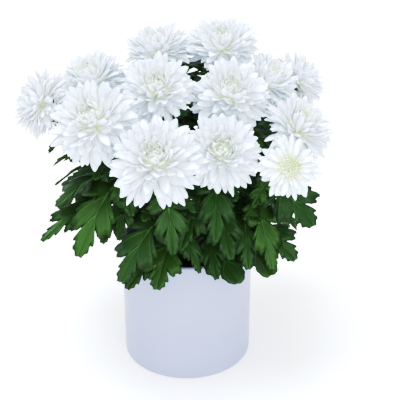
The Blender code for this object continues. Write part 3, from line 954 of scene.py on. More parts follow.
@dataclass
class Bloom(PlantPart):
    """A bloom: its heart, and petals placed one after another by the golden turn from rim to eye."""

    variation: Variation = Variation()
    first_seed: int = 800
    gap_seed: int = 900
    usual_radius: float = 46 * MM
    standing: tuple = (0.25, 0.6)
    shortest: float = 0.45
    narrowing: float = 0.4
    heart_foot: tuple = (5.6, 0.3)
    heart_top: float = 0.3 * MM
    heart_sides: int = 16
    heart_tint: float = 0.8
    tint_end: float = 0.55
    core_fade: float = 0.3

    titles = ("petals_", "bloom_", "petal_white")

    def petals(self) -> tuple[Petals, np.ndarray]:
        """Works out the petals, each short enough to stay on its own side of the dividing planes.

        Returns:
            The petals, and each one's share of the way from rim to eye.
        """
        shape = BLOOM_SHAPES[self.plant.form]
        amount = self.variation
        rng = np.random.default_rng(self.first_seed + self.number)
        number = np.arange(shape.petals)
        share = number / (shape.petals - 1)
        size = self.plant.radius / self.usual_radius if self.plant.form is BloomForm.DOUBLE else 1.0
        standing = ease(share, *self.standing)

        def vary(spread: float) -> np.ndarray:
            """Random values with that spread, one a petal."""
            return rng.normal(0, spread, shape.petals)

        root_radius = shape.at("root_radius", share) * MM
        full = self.plant.radius * shape.at("reach", share) - root_radius * (1 - standing)
        made = Petals(
            turn=number * GOLDEN_TURN + vary(amount.turn),
            root_radius=root_radius,
            root_height=shape.at("root_height", share) * MM,
            root_slope=np.radians(shape.at("root_slope", share) + vary(amount.root_slope)),
            tip_slope=np.radians(shape.at("tip_slope", share) + vary(amount.tip_slope)),
            length=full * rng.uniform(*amount.length, shape.petals),
            width=shape.at("width", share) * MM * size * rng.uniform(*amount.width, shape.petals),
            cup=shape.at("cup", share) + vary(amount.cup),
            roll=vary(amount.roll),
            swerve=vary(amount.swerve),
            hook=np.radians(vary(amount.hook)),
        )
        self.shorten(made)
        return made, share

    def shorten(self, petals: Petals) -> None:
        """Cuts each petal's length to where it meets the first dividing plane or gap, and narrows it less.

        Args:
            petals: The bloom's petals, which it changes.
        """
        points, normals = dividing_planes(self.plant)
        turn_frame = self.plant.turn_frame()
        roots = petals.roots() @ turn_frame.T + self.plant.seat
        ways = petals.run() @ turn_frame.T
        room = np.einsum("pkc,kc->pk", points[None] - roots[:, None], normals)
        pace = np.einsum("prc,kc->prk", ways, normals)
        still = 1e-6
        most = np.where(pace > still, room[:, None] / np.maximum(pace, still), np.inf).min(axis=(1, 2))
        rng = np.random.default_rng(self.gap_seed + self.number)
        ragged = rng.uniform(*self.variation.ragged, len(most))
        for gap in GAPS:
            most = np.minimum(most, gap.room(roots, ways[:, -1]) * ragged)
        length = np.clip(most, petals.length * self.shortest, petals.length)
        petals.width *= (length / petals.length) ** self.narrowing
        petals.length = length

    def heart(self, shape: Shape) -> None:
        """Adds the heart that the petals grow from: a dome turned about the bloom's axis.

        Args:
            shape: The piece.
        """
        column = BLOOM_SHAPES[self.plant.form]
        foot_radius, foot_height = self.heart_foot
        radius = np.append(foot_radius, np.array(column.root_radius)) * MM
        height = np.append(foot_height, np.array(column.root_height)) * MM
        turn = turns(self.heart_sides)
        rings = hoops(radius[:, None], height[:, None], turn)
        poles = np.array(((0, 0, height[0]), (0, 0, height[-1] + self.heart_top)))
        turn_frame, seat = self.plant.turn_frame(), self.plant.seat
        rings, poles = rings @ turn_frame.T + seat, poles @ turn_frame.T + seat
        # The heart's yellow-green share also sets its painted glow.
        along, tint = np.linspace(0, 1, len(radius)), np.array(self.heart_tint)
        shape.add_tubes(rings[None], poles[:1], poles[1:], turn / math.tau, along, tint=tint)

    def shape(self) -> Shape:
        """Makes the petals, tinted at their roots and near the eye, where they also glow with painted light,
        and the heart.

        Returns:
            The bloom's points and faces.
        """
        shape = Shape()
        petals, share = self.petals()
        column = BLOOM_SHAPES[self.plant.form]
        # The roots' yellow-green share is the petals' own colour, and the same share sets their painted
        # glow.
        low = 1 - ease(np.array(petals.section.rows), 0.0, self.tint_end)
        core = column.core_tint * ease(share, column.core, column.core + self.core_fade)[:, None]
        tint = np.maximum(column.at("tint", share)[:, None] * low, core)
        petals.add_to(shape, self.plant.turn_frame(), self.plant.seat, tint=tint[..., None])
        self.heart(shape)
        return shape


# How long the two handles of a stem's cubic may be.
STEM_BENDS = ((0.35, 0.35), (0.35, 0.25), (0.3, 0.18), (0.5, 0.18), (0.2, 0.12), (0.45, 0.45), (0.2, 0.08))
# The leaves that the photograph shows: plant, height of the root, the tip's place, width and roll. Lengths
# are in millimetres and angles in degrees, here and in the next tables.
FRONT_LEAVES = (
    ("12", 222, -104, -95, 166, 0.78, 0),
    ("13", 200, -132, -88, 174, 0.5, 0),
    ("12", 216, -62, -66, 168, 0.8, 0),
    ("13", 208, -127, -58, 201, 0.8, -15),
    ("13", 228, -131, -38, 216, 0.5, -26),
    ("13", 240, -134, -28, 233, 0.6, -10),
    ("14", 238, -141, -6, 238, 0.5, -20),
    ("12", 200, -88, -66, 160, 0.7, 0),
    ("12", 240, -52, -84, 205, 0.9, 0),
    ("01", 196, -63, -105, 143, 0.9, 0),
    ("01", 166, -28, -99, 131, 1.1, 0),
    ("01", 150, -58, -92, 127, 0.7, 0),
    ("01", 222, -12, -104, 162, 0.7, 0),
    ("02", 214, -5, -88, 170, 0.7, 20),
    ("02", 232, 29, -108, 190, 0.8, 0),
    ("02", 195, 45, -97, 164, 0.7, 0),
    ("02", 168, 31, -96, 141, 0.6, 0),
    ("01", 184, 14, -92, 146, 0.6, 0),
    ("02", 148, 52, -88, 131, 0.8, 0),
    ("04", 152, 68, -86, 133, 0.8, 0),
    ("03", 190, 62, -92, 150, 0.7, 0),
    ("03", 205, 80, -88, 147, 0.8, 0),
    ("03", 182, 110, -74, 163, 1.0, 0),
    ("04", 222, 124, -86, 195, 0.9, 0),
    ("04", 206, 92, -72, 176, 0.8, 0),
    ("04", 176, 110, -4, 150, 0.9, 0),
    ("04", 238, 128, 8, 212, 0.8, 0),
    ("03", 228, 66, -76, 210, 0.9, 0),
    ("10", 206, -40, -60, 186, 0.9, 0),
    ("10", 262, 2, -62, 262, 0.8, 0),
    ("05", 256, 76, -42, 256, 0.8, 0),
    ("05", 236, 12, -58, 232, 0.8, 0),
)
# Leaves behind the gaps: plant, height of the root, the tip's place and width.
GAP_LEAVES = (
    ("10", 250, 12, 30, 268, 1.0),
    ("10", 264, 16, 34, 286, 1.0),
    ("05", 244, -12, 24, 264, 1.0),
    ("05", 262, 90, 18, 272, 1.0),
    ("05", 234, -14, 4, 262, 1.0),
    ("09", 284, 20, 40, 307, 1.0),
    ("09", 296, 26, 64, 312, 1.0),
    ("08", 280, -8, 36, 303, 1.0),
    ("08", 296, -14, 72, 308, 1.0),
    ("08", 262, 6, 12, 280, 1.0),
    ("06", 256, 84, -18, 278, 1.0),
    ("02", 205, 80, -40, 206, 0.9),
    ("02", 190, 78, -46, 190, 0.9),
    ("04", 212, 54, -28, 198, 0.9),
    ("03", 216, 58, -22, 212, 0.9),
)
# Leaves at the rear and inside: share of the stem's line, turn from the way out, length and hang.
OUTER_LEAVES = ((0.36, 8, 72, 38), (0.54, 46, 70, 32), (0.70, -42, 66, 22))
INNER_LEAVES = ((0.66, 30, 58, 4), (0.84, 200, 50, 0))
# The changes that a leaf may have, smallest first: its shortening, arch, turn, lift and tilt.
LEAF_ARCH = 0.28
LEAF_CHANGES = sorted(
    itertools.product(
        (1, 0.92, 0.84, 0.76, 0.68, 0.6, 0.52, 0.45),
        (LEAF_ARCH, 0.16, 0.4),
        (0, 7, -7, 14, -14, 22, -22),
        (0, 10, -10),
        (0, 15, -15, 30, -30),
    ),
    key=lambda c: 60 * (1 - c[0]) + 25 * abs(c[1] - LEAF_ARCH) + 0.6 * abs(c[2]) + abs(c[3]) + abs(c[4]) / 7,
)


@dataclass(frozen=True)
class LeafPath:
    """How a leaf lies: a blade folded along an arched midrib, from the stalk's root to the leaf's tip."""

    root: np.ndarray
    tip: np.ndarray
    wide: float
    arch: float
    roll: float

    half_share = 0.37
    fold = 0.3
    droop = 0.35
    crown_share = 0.45
    arch_gain = 1.6

    @property
    def length(self) -> float:
        """The midrib's length along its arch."""
        return float(np.linalg.norm(self.tip - self.root)) * (1 + self.arch_gain * self.arch**2)

    def place(self, along: np.ndarray, across: np.ndarray, over: np.ndarray) -> np.ndarray:
        """Puts points of the flat leaf on the arched one.

        The midrib is a quadratic from root over crown to tip. A point off it lies along the blade's side
        direction, and is lifted by the fold, which the droop takes back towards the edge.

        Args:
            along: Shares of the length.
            across: Shares of the usual half width, left and right.
            over: Metres above the blade's middle surface.

        Returns:
            Points in the scene.
        """
        along, across, over = np.broadcast_arrays(along, across, over)
        chord = self.tip - self.root
        level = unit(np.cross(UP, chord))
        crown = self.root + chord * self.crown_share + UP * np.linalg.norm(chord) * self.arch
        b = along[..., None]
        a = 1 - b
        middle = self.root * a * a + crown * (2 * a * b) + self.tip * b * b
        ahead = unit((crown - self.root) * a + (self.tip - crown) * b)
        lift = np.cross(ahead, level) * math.cos(self.roll) + level * math.sin(self.roll)
        side = np.cross(lift, ahead)
        reach = across * self.wide * self.half_share * self.length
        rise = np.abs(reach) * (self.fold - self.droop * np.abs(across)) + over
        return middle + side * reach[..., None] + lift * rise[..., None]


class FrameLeaves:
    """Finds how the frame's stems and leaves are bent: of the ways that they may be, the one whose corners
    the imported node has."""

    corners = ((1.0, 0.0), (0.40, 0.96), (0.40, -0.96), (0.79, 0.70), (0.79, -0.70), (0.94, 0.27))
    near = 0.02 * MM
    blade = 0.9 * MM
    rear_edge = 20 * MM
    outer_reach = 80 * MM
    first_seed = 300
    turn_range = (-12, 12)
    length_range = (0.9, 1.08)
    width_range = (0.85, 1.1)
    steps = 60

    def __init__(self, plant: Plant, number: int) -> None:
        """Reads the plant's packed stem.

        Args:
            plant: The plant.
            number: Its number, which sets the random draws.
        """
        self.plant = plant
        self.number = number
        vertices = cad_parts["leafy_stem_" + plant.name].data.vertices
        self.tree = KDTree(len(vertices))
        for index, vertex in enumerate(vertices):
            self.tree.insert(vertex.co, index)
        self.tree.balance()
        self.bend = min(STEM_BENDS, key=self.bend_error)

    def gap(self, point: np.ndarray) -> float:
        """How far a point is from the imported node's nearest corner."""
        return self.tree.find(Vector(point))[2]

    def bend_error(self, bend: tuple[float, float]) -> float:
        """How badly a bend fits: the corners round the stem's line should stand off by the stem's radius,
        which falls from 3 mm to 2 mm.

        Args:
            bend: One of the stem bends.

        Returns:
            The sum of the misfits at three places, in metres.
        """
        shares = np.array((0.25, 0.5, 0.75))
        radii = (3.0 - shares) * MM
        points = self.plant.line(shares, bend)
        return sum(abs(self.gap(point) - radius) for point, radius in zip(points, radii))

    def share_at(self, height: float) -> float:
        """The share of the stem's line, in whole steps, at which it reaches a height."""
        shares = np.arange(self.steps + 1) / self.steps
        return shares[np.abs(self.plant.line(shares, self.bend)[:, 2] - height).argmin()]

    def plan(self) -> list[tuple[float, np.ndarray, float, float]]:
        """Lists the leaves that the stem was given.

        Returns:
            For each leaf its root's share of the stem's line, its tip, its width and its roll.
        """
        plant, rng = self.plant, random.Random(self.first_seed + self.number)
        plan = [
            (self.share_at(height * MM), np.array((x, y, z)) * MM, wide, math.radians(roll))
            for name, height, x, y, z, wide, roll in FRONT_LEAVES
            if name == plant.name
        ]
        x, y = plant.middle[:2]
        if y > self.rear_edge and math.hypot(x, y) > self.outer_reach:
            rule = OUTER_LEAVES
        else:
            rule = () if plan else INNER_LEAVES
        for share, turn, length, hang in rule:
            way = math.atan2(y, x) + math.radians(turn + rng.uniform(*self.turn_range))
            out = np.array((math.cos(way), math.sin(way), 0)) * length * rng.uniform(*self.length_range)
            tip = plant.line(share, self.bend) + (out - UP * hang) * MM
            plan.append((share, tip, rng.uniform(*self.width_range), 0.0))
        return plan

    def is_there(self, leaf: LeafPath) -> bool:
        """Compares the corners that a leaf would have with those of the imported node.

        Args:
            leaf: A way that the leaf may lie.

        Returns:
            True if its tip and most of its corners are there.
        """
        places = np.array(self.corners)
        found = 0
        for half in (1, -1):
            points = leaf.place(places[:, 0], places[:, 1], np.array(half * self.blade / 2))
            if half == 1 and self.gap(points[0]) > self.near:
                return False
            found += sum(self.gap(point) < self.near for point in points)
        return found > len(places)

    def find(self) -> list[LeafPath]:
        """Finds the leaves: each is shortened, turned and tilted in the ways that the list of changes has,
        until its corners are there.

        Returns:
            The leaves as they lie in the frame.
        """
        found, plan = [], self.plan()
        for share, tip, wide, roll in plan:
            root = self.plant.line(share, self.bend)
            for short, arch, turn, lift, tilt in LEAF_CHANGES:
                angle = math.radians(turn)
                x, y, z = (tip - root) * short
                away = np.array(
                    (x * math.cos(angle) - y * math.sin(angle), x * math.sin(angle) + y * math.cos(angle), z)
                )
                end = root + away + UP * np.linalg.norm(away) * math.tan(math.radians(lift))
                leaf = LeafPath(root, end, wide, arch, roll + math.radians(tilt))
                if self.is_there(leaf):
                    found.append(leaf)
                    break
        log.info("stem %s: %d of %d leaves found", self.plant.name, len(found), len(plan))
        return found


def through(knots: np.ndarray, share: np.ndarray) -> np.ndarray:
    """Reads a smooth curve through knots, by the Catmull-Rom cubic: between two knots it keeps the slopes
    that their neighbours give it.

    Args:
        knots: The knots, one a row.
        share: Shares of the way from the first to the last.

    Returns:
        A point for each share.
    """
    padded = np.concatenate((knots[:1], knots, knots[-1:]))
    where = share * (len(knots) - 1)
    index = np.minimum(where.astype(int), len(knots) - 2)
    f = (where - index)[:, None]
    before, here, there, after = (padded[index + step] for step in range(4))
    bend = 2 * before - 5 * here + 4 * there - after
    twist = 3 * (here - there) + after - before
    return here + ((there - before) * f + bend * f**2 + twist * f**3) / 2


@dataclass(frozen=True)
class LeafBlade:
    """A leaf's flat outline, from the stalk's root to the tip: where on the midrib each edge place is drawn
    from, and how far it lies along the leaf and across it, as shares of the length and of the half width."""

    knots: tuple
    teeth: int
    tooth_depth: float

    rows = 92
    places = (1, 0.7, 0.4, 0.12, 0, -0.12, -0.4, -0.7, -1, -0.6, -0.15, 0, 0.15, 0.6)
    faces = (0, 1, 1, 1, 1, 1, 1, 1, 0, -1, -1, -1, -1, -1)
    thickness = 0.4 * MM
    stalk_thickness = 1.5 * MM
    stalk_end = 0.14
    blade_fade = 0.12
    swell = 0.55 * MM
    swells = 4.5
    wave = 1.3 * MM
    wave_pitch = 16
    groove = 0.5 * MM
    ridge = 0.7 * MM
    rib_width = 0.1
    least_skin = 0.12
    side_spread = 0.08
    drift_spread = 0.02
    bay_teeth = 0.35
    full_teeth = (0.25, 0.6)

    def edge(self, share: np.ndarray) -> np.ndarray:
        """The outline at shares of the way round its half: a smooth curve, pushed out along its normal by
        the waves of a fine serration. They fade out on the stalk and at the tip, and are lower in the bays.

        Args:
            share: Shares of the way round the outline's half.

        Returns:
            A row for each share: place on the midrib, edge's place along, edge's place across.
        """
        smooth = through(np.array(self.knots), share)
        run = np.gradient(smooth[:, 1:] * (1, LeafPath.half_share), axis=0)
        out = unit(run[:, ::-1] * (-1, 1)) * (1, 1 / LeafPath.half_share)
        wave = 0.5 - 0.5 * np.cos(share * self.teeth * math.tau)
        size = wave * self.tooth_depth * ease(share, 0.1, 0.2) * (1 - ease(share, 0.95, 1.0))
        size *= self.bay_teeth + (1 - self.bay_teeth) * ease(smooth[:, 2], *self.full_teeth)
        smooth[:, 1:] += out * size[:, None]
        return smooth

    def add_to(self, shape: Shape, path: LeafPath, rng: np.random.Generator, youth: float) -> None:
        """Adds the leaf to a piece.

        The blade is ruled between midrib and edge. It swells between its veins, its margin waves, and the
        midrib is a groove above and a ridge beneath.

        Args:
            shape: The piece.
            path: How the leaf lies.
            rng: The leaf's own random draws.
            youth: 0 for an old dark leaf, 1 for a fresh one.
        """
        share = np.linspace(0, 1, self.rows + 1)[1:-1]
        place, face = np.array(self.places), np.array(self.faces)
        rib, along, across = self.edge(share).T[:, :, None]
        row = share[:, None]
        blade = ease(row, self.stalk_end, self.stalk_end + self.blade_fade)
        left, right = 1 + rng.normal(0, self.side_spread, 2)
        drift = rng.normal(0, self.drift_spread, 2)
        sides = np.where(place >= 0, left, right)
        out = np.abs(place)
        x = rib + (along + np.where(place >= 0, *drift) * blade * (1 - row) - rib) * out
        y = across * sides * place
        rib_line = np.exp(-((out / self.rib_width) ** 2))
        between = np.abs(np.sin(math.pi * row * self.swells))
        swell = self.swell * between * out * (1 - out) * 4
        phase = rng.uniform(0, math.tau, 2)
        wave = self.wave * np.sin(row * self.wave_pitch + np.where(place >= 0, *phase)) * out**3
        half = self.stalk_thickness / 2 + (self.thickness - self.stalk_thickness) / 2 * blade
        skin = half * face * np.sqrt(np.clip(1 - out**2, self.least_skin, 1))
        ridge = np.where(face < 0, self.ridge, 0) * rib_line * (1 - row)
        over = (swell + wave - self.groove * rib_line) * blade + skin - ridge
        rings = path.place(x, y, over)
        poles = path.place(np.array((0.0, 1.0)), np.zeros(2), np.zeros(2))
        shape.add_tubes(
            rings[None],
            poles[:1],
            poles[1:],
            (place + 1) / 2,
            share,
            youth=np.array(youth),
            beneath=np.where(face < 0, 1.0, 0.0),
        )


BLADES = {
    LeafKind.TOOTHED: LeafBlade(
        knots=(
            (0.0, 0.0, 0.03), (0.09, 0.10, 0.04), (0.14, 0.16, 0.07), (0.16, 0.19, 0.26),
            (0.17, 0.22, 0.54), (0.175, 0.25, 0.76), (0.185, 0.29, 0.87), (0.20, 0.33, 0.80),
            (0.21, 0.38, 0.94), (0.22, 0.42, 1.00), (0.235, 0.45, 0.87), (0.25, 0.50, 0.88),
            (0.265, 0.53, 0.77), (0.285, 0.53, 0.53), (0.32, 0.51, 0.29), (0.36, 0.55, 0.22),
            (0.385, 0.60, 0.36), (0.40, 0.64, 0.58), (0.415, 0.67, 0.73), (0.43, 0.71, 0.65),
            (0.45, 0.76, 0.77), (0.465, 0.80, 0.76), (0.48, 0.80, 0.59), (0.50, 0.84, 0.55),
            (0.52, 0.83, 0.38), (0.56, 0.79, 0.22), (0.60, 0.82, 0.19), (0.64, 0.87, 0.33),
            (0.67, 0.91, 0.35), (0.70, 0.91, 0.25), (0.75, 0.96, 0.28), (0.80, 0.975, 0.18),
            (0.90, 1.005, 0.12), (1.0, 1.0, 0.0),
        ),
        teeth=46,
        tooth_depth=0.007,
    ),
    LeafKind.ROUND: LeafBlade(
        knots=(
            (0.0, 0.0, 0.03), (0.09, 0.10, 0.04), (0.14, 0.18, 0.08), (0.17, 0.25, 0.30),
            (0.19, 0.33, 0.60), (0.22, 0.41, 0.80), (0.25, 0.49, 0.86), (0.29, 0.57, 0.76),
            (0.33, 0.58, 0.56), (0.37, 0.60, 0.48), (0.41, 0.65, 0.64), (0.46, 0.73, 0.80),
            (0.51, 0.81, 0.78), (0.57, 0.86, 0.60), (0.62, 0.86, 0.44), (0.70, 0.90, 0.46),
            (0.80, 0.96, 0.38), (0.90, 1.0, 0.20), (1.0, 1.0, 0.0),
        ),
        teeth=16,
        tooth_depth=0.014,
    ),
}


@dataclass(frozen=True)
class FillerRule:
    """Where small leaves may be tried and how they lie: ranges of shares, millimetres and rises, and how far
    their tips stay from the dividing planes, under the bloom's seat and above the pot."""

    tries: tuple = (0.3, 0.84, 18)
    shift: tuple = (-0.05, 0.05)
    rise: tuple = (-0.15, 0.35)
    length: tuple = (32, 48)
    wide: tuple = (0.75, 1.0)
    arch: tuple = (0.15, 0.3)
    roll: float = 0.4
    beside: float = 3 * MM
    under: float = 10 * MM
    lowest: float = 150 * MM
    most: int = 6


@dataclass
class LeafyStem(PlantPart):
    """A stem with its leaves, the green cup under its bloom and the cup's small bracts."""

    foot_radius: float = 3.0 * MM
    top_radius: float = 2.0 * MM
    cup_radius: float = 6.5 * MM
    ridges: int = 6
    rows: int = 30
    sides: int = 18
    ridge_height: float = 0.05
    cup_share: float = 0.96
    stem_youth: float = 0.55
    stem_beneath: float = 0.35
    veinless: tuple = (0.2, 0.5)
    bracts: int = 26
    bract_youth: float = 0.5
    bract_beneath: float = 0.3
    rule: FillerRule = FillerRule()
    gap_arch: float = 0.2
    low: float = 140 * MM
    round_share: float = 0.6
    young_share: float = 0.22
    young: float = 0.9
    oldest: tuple = (0, 0.45)
    leaf_seed: int = 500
    bract_seed: int = 700

    titles = ("greenery_", "leafy_stem_", "leaf_green")
    off_plumb = np.array((0.02, 0.01, 0))

    def stem(self, shape: Shape, bend: tuple[float, float]) -> None:
        """Adds the stem and its cup: a tube along the stem's line, ribbed lengthwise, wider at its end.

        Args:
            shape: The piece.
            bend: How the stem is bent.
        """
        plant = self.plant
        share = np.linspace(0, 1, self.rows)
        top = plant.seat - plant.axis * POT.clear * MM
        cup = np.array((0.0, 0.25, 0.5, 0.75, 1.0))
        cup_line = top - np.outer(1 - cup, plant.axis) * plant.cup_depth * self.cup_share
        line = np.concatenate((plant.base[None], plant.line(share, bend), cup_line))
        bowl = self.top_radius + (self.cup_radius - self.top_radius) * np.sqrt(np.clip(cup + 0.05, 0, 1))
        radius = self.foot_radius + (self.top_radius - self.foot_radius) * share
        radius = np.concatenate((radius[:1], radius, bowl))
        ahead = unit(np.gradient(line, axis=0))
        level = unit(np.cross(plant.axis, UP + self.off_plumb))
        first = unit(np.cross(level, ahead))
        second = np.cross(ahead, first)
        turn = turns(self.sides)
        thick = radius[:, None] * (1 + self.ridge_height * np.cos(self.ridges * turn))
        around = first[:, None] * np.cos(turn)[:, None] + second[:, None] * np.sin(turn)[:, None]
        rings = line[:, None] + thick[..., None] * around
        shape.add_tubes(
            rings[None],
            line[:1],
            line[-1:],
            np.full(self.sides, self.veinless[0]),
            np.full(len(line), self.veinless[1]),
            youth=np.array(self.stem_youth),
            beneath=np.array(self.stem_beneath),
        )

    def cup_bracts(self, shape: Shape) -> None:
        """Adds the cup's bracts: small pointed scales in the golden turn, which hug the cup and lie under
        the outermost petals.

        Args:
            shape: The piece.
        """
        rng = np.random.default_rng(self.bract_seed + self.number)
        number = np.arange(self.bracts)
        share = number / (self.bracts - 1)
        none = np.zeros(self.bracts)
        bracts = Petals(
            turn=number * GOLDEN_TURN,
            root_radius=(3.4 + 2.6 * share) * MM,
            root_height=(-5.0 + 4.4 * share) * MM,
            root_slope=np.radians(60 - 34 * share),
            tip_slope=np.radians(24 - 22 * share + rng.normal(0, 4, self.bracts)),
            length=(6.0 + 3.0 * share) * MM,
            width=(3.4 + 0.8 * share) * MM,
            cup=none - 0.1,
            roll=none,
            swerve=none,
            hook=none,
        )
        tone = {"youth": np.array(self.bract_youth), "beneath": np.array(self.bract_beneath)}
        bracts.add_to(shape, self.plant.turn_frame(), self.plant.seat, **tone)

    def fillers(self, found: FrameLeaves, rng: np.random.Generator) -> list[LeafPath]:
        """Small leaves further in, which close the view between the stems, and those behind the gaps.

        Args:
            found: The stem's leaves in the frame.
            rng: The stem's own random draws.

        Returns:
            The leaves behind the gaps, and the small leaves, each of which is kept to its own side of the
            dividing planes and under its own bloom.
        """
        plant, rule, made = self.plant, self.rule, []
        for name, height, x, y, z, wide in GAP_LEAVES:
            if name == plant.name:
                root = plant.line(found.share_at(height * MM), found.bend)
                made.append(LeafPath(root, np.array((x, y, z)) * MM, wide, self.gap_arch, 0.0))
        points, normals = dividing_planes(plant)
        full = len(made) + rule.most
        for share in np.linspace(*rule.tries):
            root = plant.line(share + rng.uniform(*rule.shift), found.bend)
            way = rng.uniform(0, math.tau)
            out = np.array((math.cos(way), math.sin(way), rng.uniform(*rule.rise)))
            tip = root + out * rng.uniform(*rule.length) * MM
            wide, arch, roll = rng.uniform(*rule.wide), rng.uniform(*rule.arch), rng.normal(0, rule.roll)
            beside = np.einsum("kc,kc->k", tip - points, normals).max() < -rule.beside
            under = (tip - plant.seat).dot(plant.axis) < -rule.under
            if beside and under and tip[2] > rule.lowest and len(made) < full:
                made.append(LeafPath(root, tip, wide, arch, roll))
        return made

    def shape(self) -> Shape:
        """Makes the stem, the cup and the leaves.

        Returns:
            The stem's points and faces.
        """
        found = FrameLeaves(self.plant, self.number)
        rng = np.random.default_rng(self.leaf_seed + self.number)
        shape = Shape()
        self.stem(shape, found.bend)
        self.cup_bracts(shape)
        for leaf in found.find() + self.fillers(found, rng):
            is_round = leaf.tip[2] < self.low and rng.random() < self.round_share
            youth = self.young if rng.random() < self.young_share else rng.uniform(*self.oldest)
            BLADES[LeafKind.ROUND if is_round else LeafKind.TOOTHED].add_to(shape, leaf, rng, youth)
        return shape


def arc(centre: tuple[float, float], radius: float, first: float, last: float, steps: int) -> np.ndarray:
    """Points on an arc in a profile's plane.

    Args:
        centre: Its distance from the axis and its height.
        radius: Its radius.
        first: Where it starts, in degrees from straight out.
        last: Where it ends.
        steps: How many points it has.

    Returns:
        Points, by distance from the axis and height.
    """
    angle = np.radians(np.linspace(first, last, steps))
    return np.stack((centre[0] + radius * np.cos(angle), centre[1] + radius * np.sin(angle)), axis=-1)


def upright(radius: float, first: float, last: float, steps: int) -> np.ndarray:
    """That many points straight up or down a profile, from the first height to the last."""
    return np.stack((np.full(steps, radius), np.linspace(first, last, steps)), axis=-1)


def turned(profile: np.ndarray, sides: int) -> Shape:
    """Makes a solid of revolution about Z.

    Args:
        profile: Points from the bottom pole up the outer side and back to the top pole: radius, height.
        sides: How many places round.

    Returns:
        The solid's points and faces.
    """
    turn, shape = turns(sides), Shape()
    radius, height = profile[1:-1, :1], profile[1:-1, 1:]
    poles = np.zeros((2, 3))
    poles[:, 2] = profile[(0, -1), 1]
    along = np.linspace(0, 1, len(radius))
    shape.add_tubes(hoops(radius, height, turn)[None], poles[:1], poles[1:], turn / math.tau, along)
    return shape


@dataclass
class CoverPot(Part):
    """The glazed pot: a straight wall with a rounded rim and foot, as wide and high as the frame's box."""

    sides: int = 160
    rim_steps: int = 10
    wall_steps: int = 8
    inner_steps: int = 6
    lip_play: float = 0.05 * MM

    titles = ("glazed_pot", "cover_pot", "white_glaze")

    def shape(self) -> Shape:
        """Makes the pot from its profile.

        Returns:
            The pot's points and faces.
        """
        low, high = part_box("cover_pot")
        radius, height = (high.x - low.x) / 2, high.z
        wall, edge, floor = POT.wall * MM, POT.edge * MM, POT.floor * MM
        lip = wall / 2 - self.lip_play
        inner, straight = radius - wall, height - lip * 1.5
        profile = np.concatenate((
            ((0, 0), (radius * 0.5, 0)),
            arc((radius - edge, edge), edge, -90, 0, 6),
            upright(radius, edge * 2, straight, self.wall_steps),
            arc((radius - wall / 2, height - lip), lip, 0, 180, self.rim_steps),
            upright(inner, straight, floor + edge * 2, self.inner_steps),
            arc((inner - edge, floor + edge), edge, 0, -90, 5),
            ((inner * 0.5, floor), (0, floor)),
        ))
        return turned(profile, self.sides)


@dataclass
class GrowPot(Part):
    """The black pot inside, with its rolled rim."""

    sides: int = 120

    titles = ("plastic_pot", "grow_pot", "black_plastic")

    def shape(self) -> Shape:
        """Makes the pot from its profile.

        Returns:
            The pot's points and faces.
        """
        base = (POT.floor + POT.clear) * MM
        top, wall, rim = POT.grow_top * MM, POT.grow_wall * MM, POT.grow_rim * MM
        radius, foot, low = POT.grow_top_radius * MM, POT.grow_base_radius * MM, POT.grow_rim_depth * MM
        share = (top - low - base) / (top - base)
        profile = np.concatenate((
            ((0, base), (foot * 0.5, base), (foot - wall, base)),
            ((foot, base + wall), (foot + (radius - foot) * share, top - low)),
            ((radius + rim, top - low), (radius + rim, top - rim / 2)),
            arc((radius + rim / 2, top - rim / 2), rim / 2, 0, 90, 5),
            ((radius - wall / 2, top), (radius - wall, top - wall / 2)),
            ((foot - wall, base + wall), (foot * 0.5, base + wall), (0, base + wall)),
        ))
        return turned(profile, self.sides)


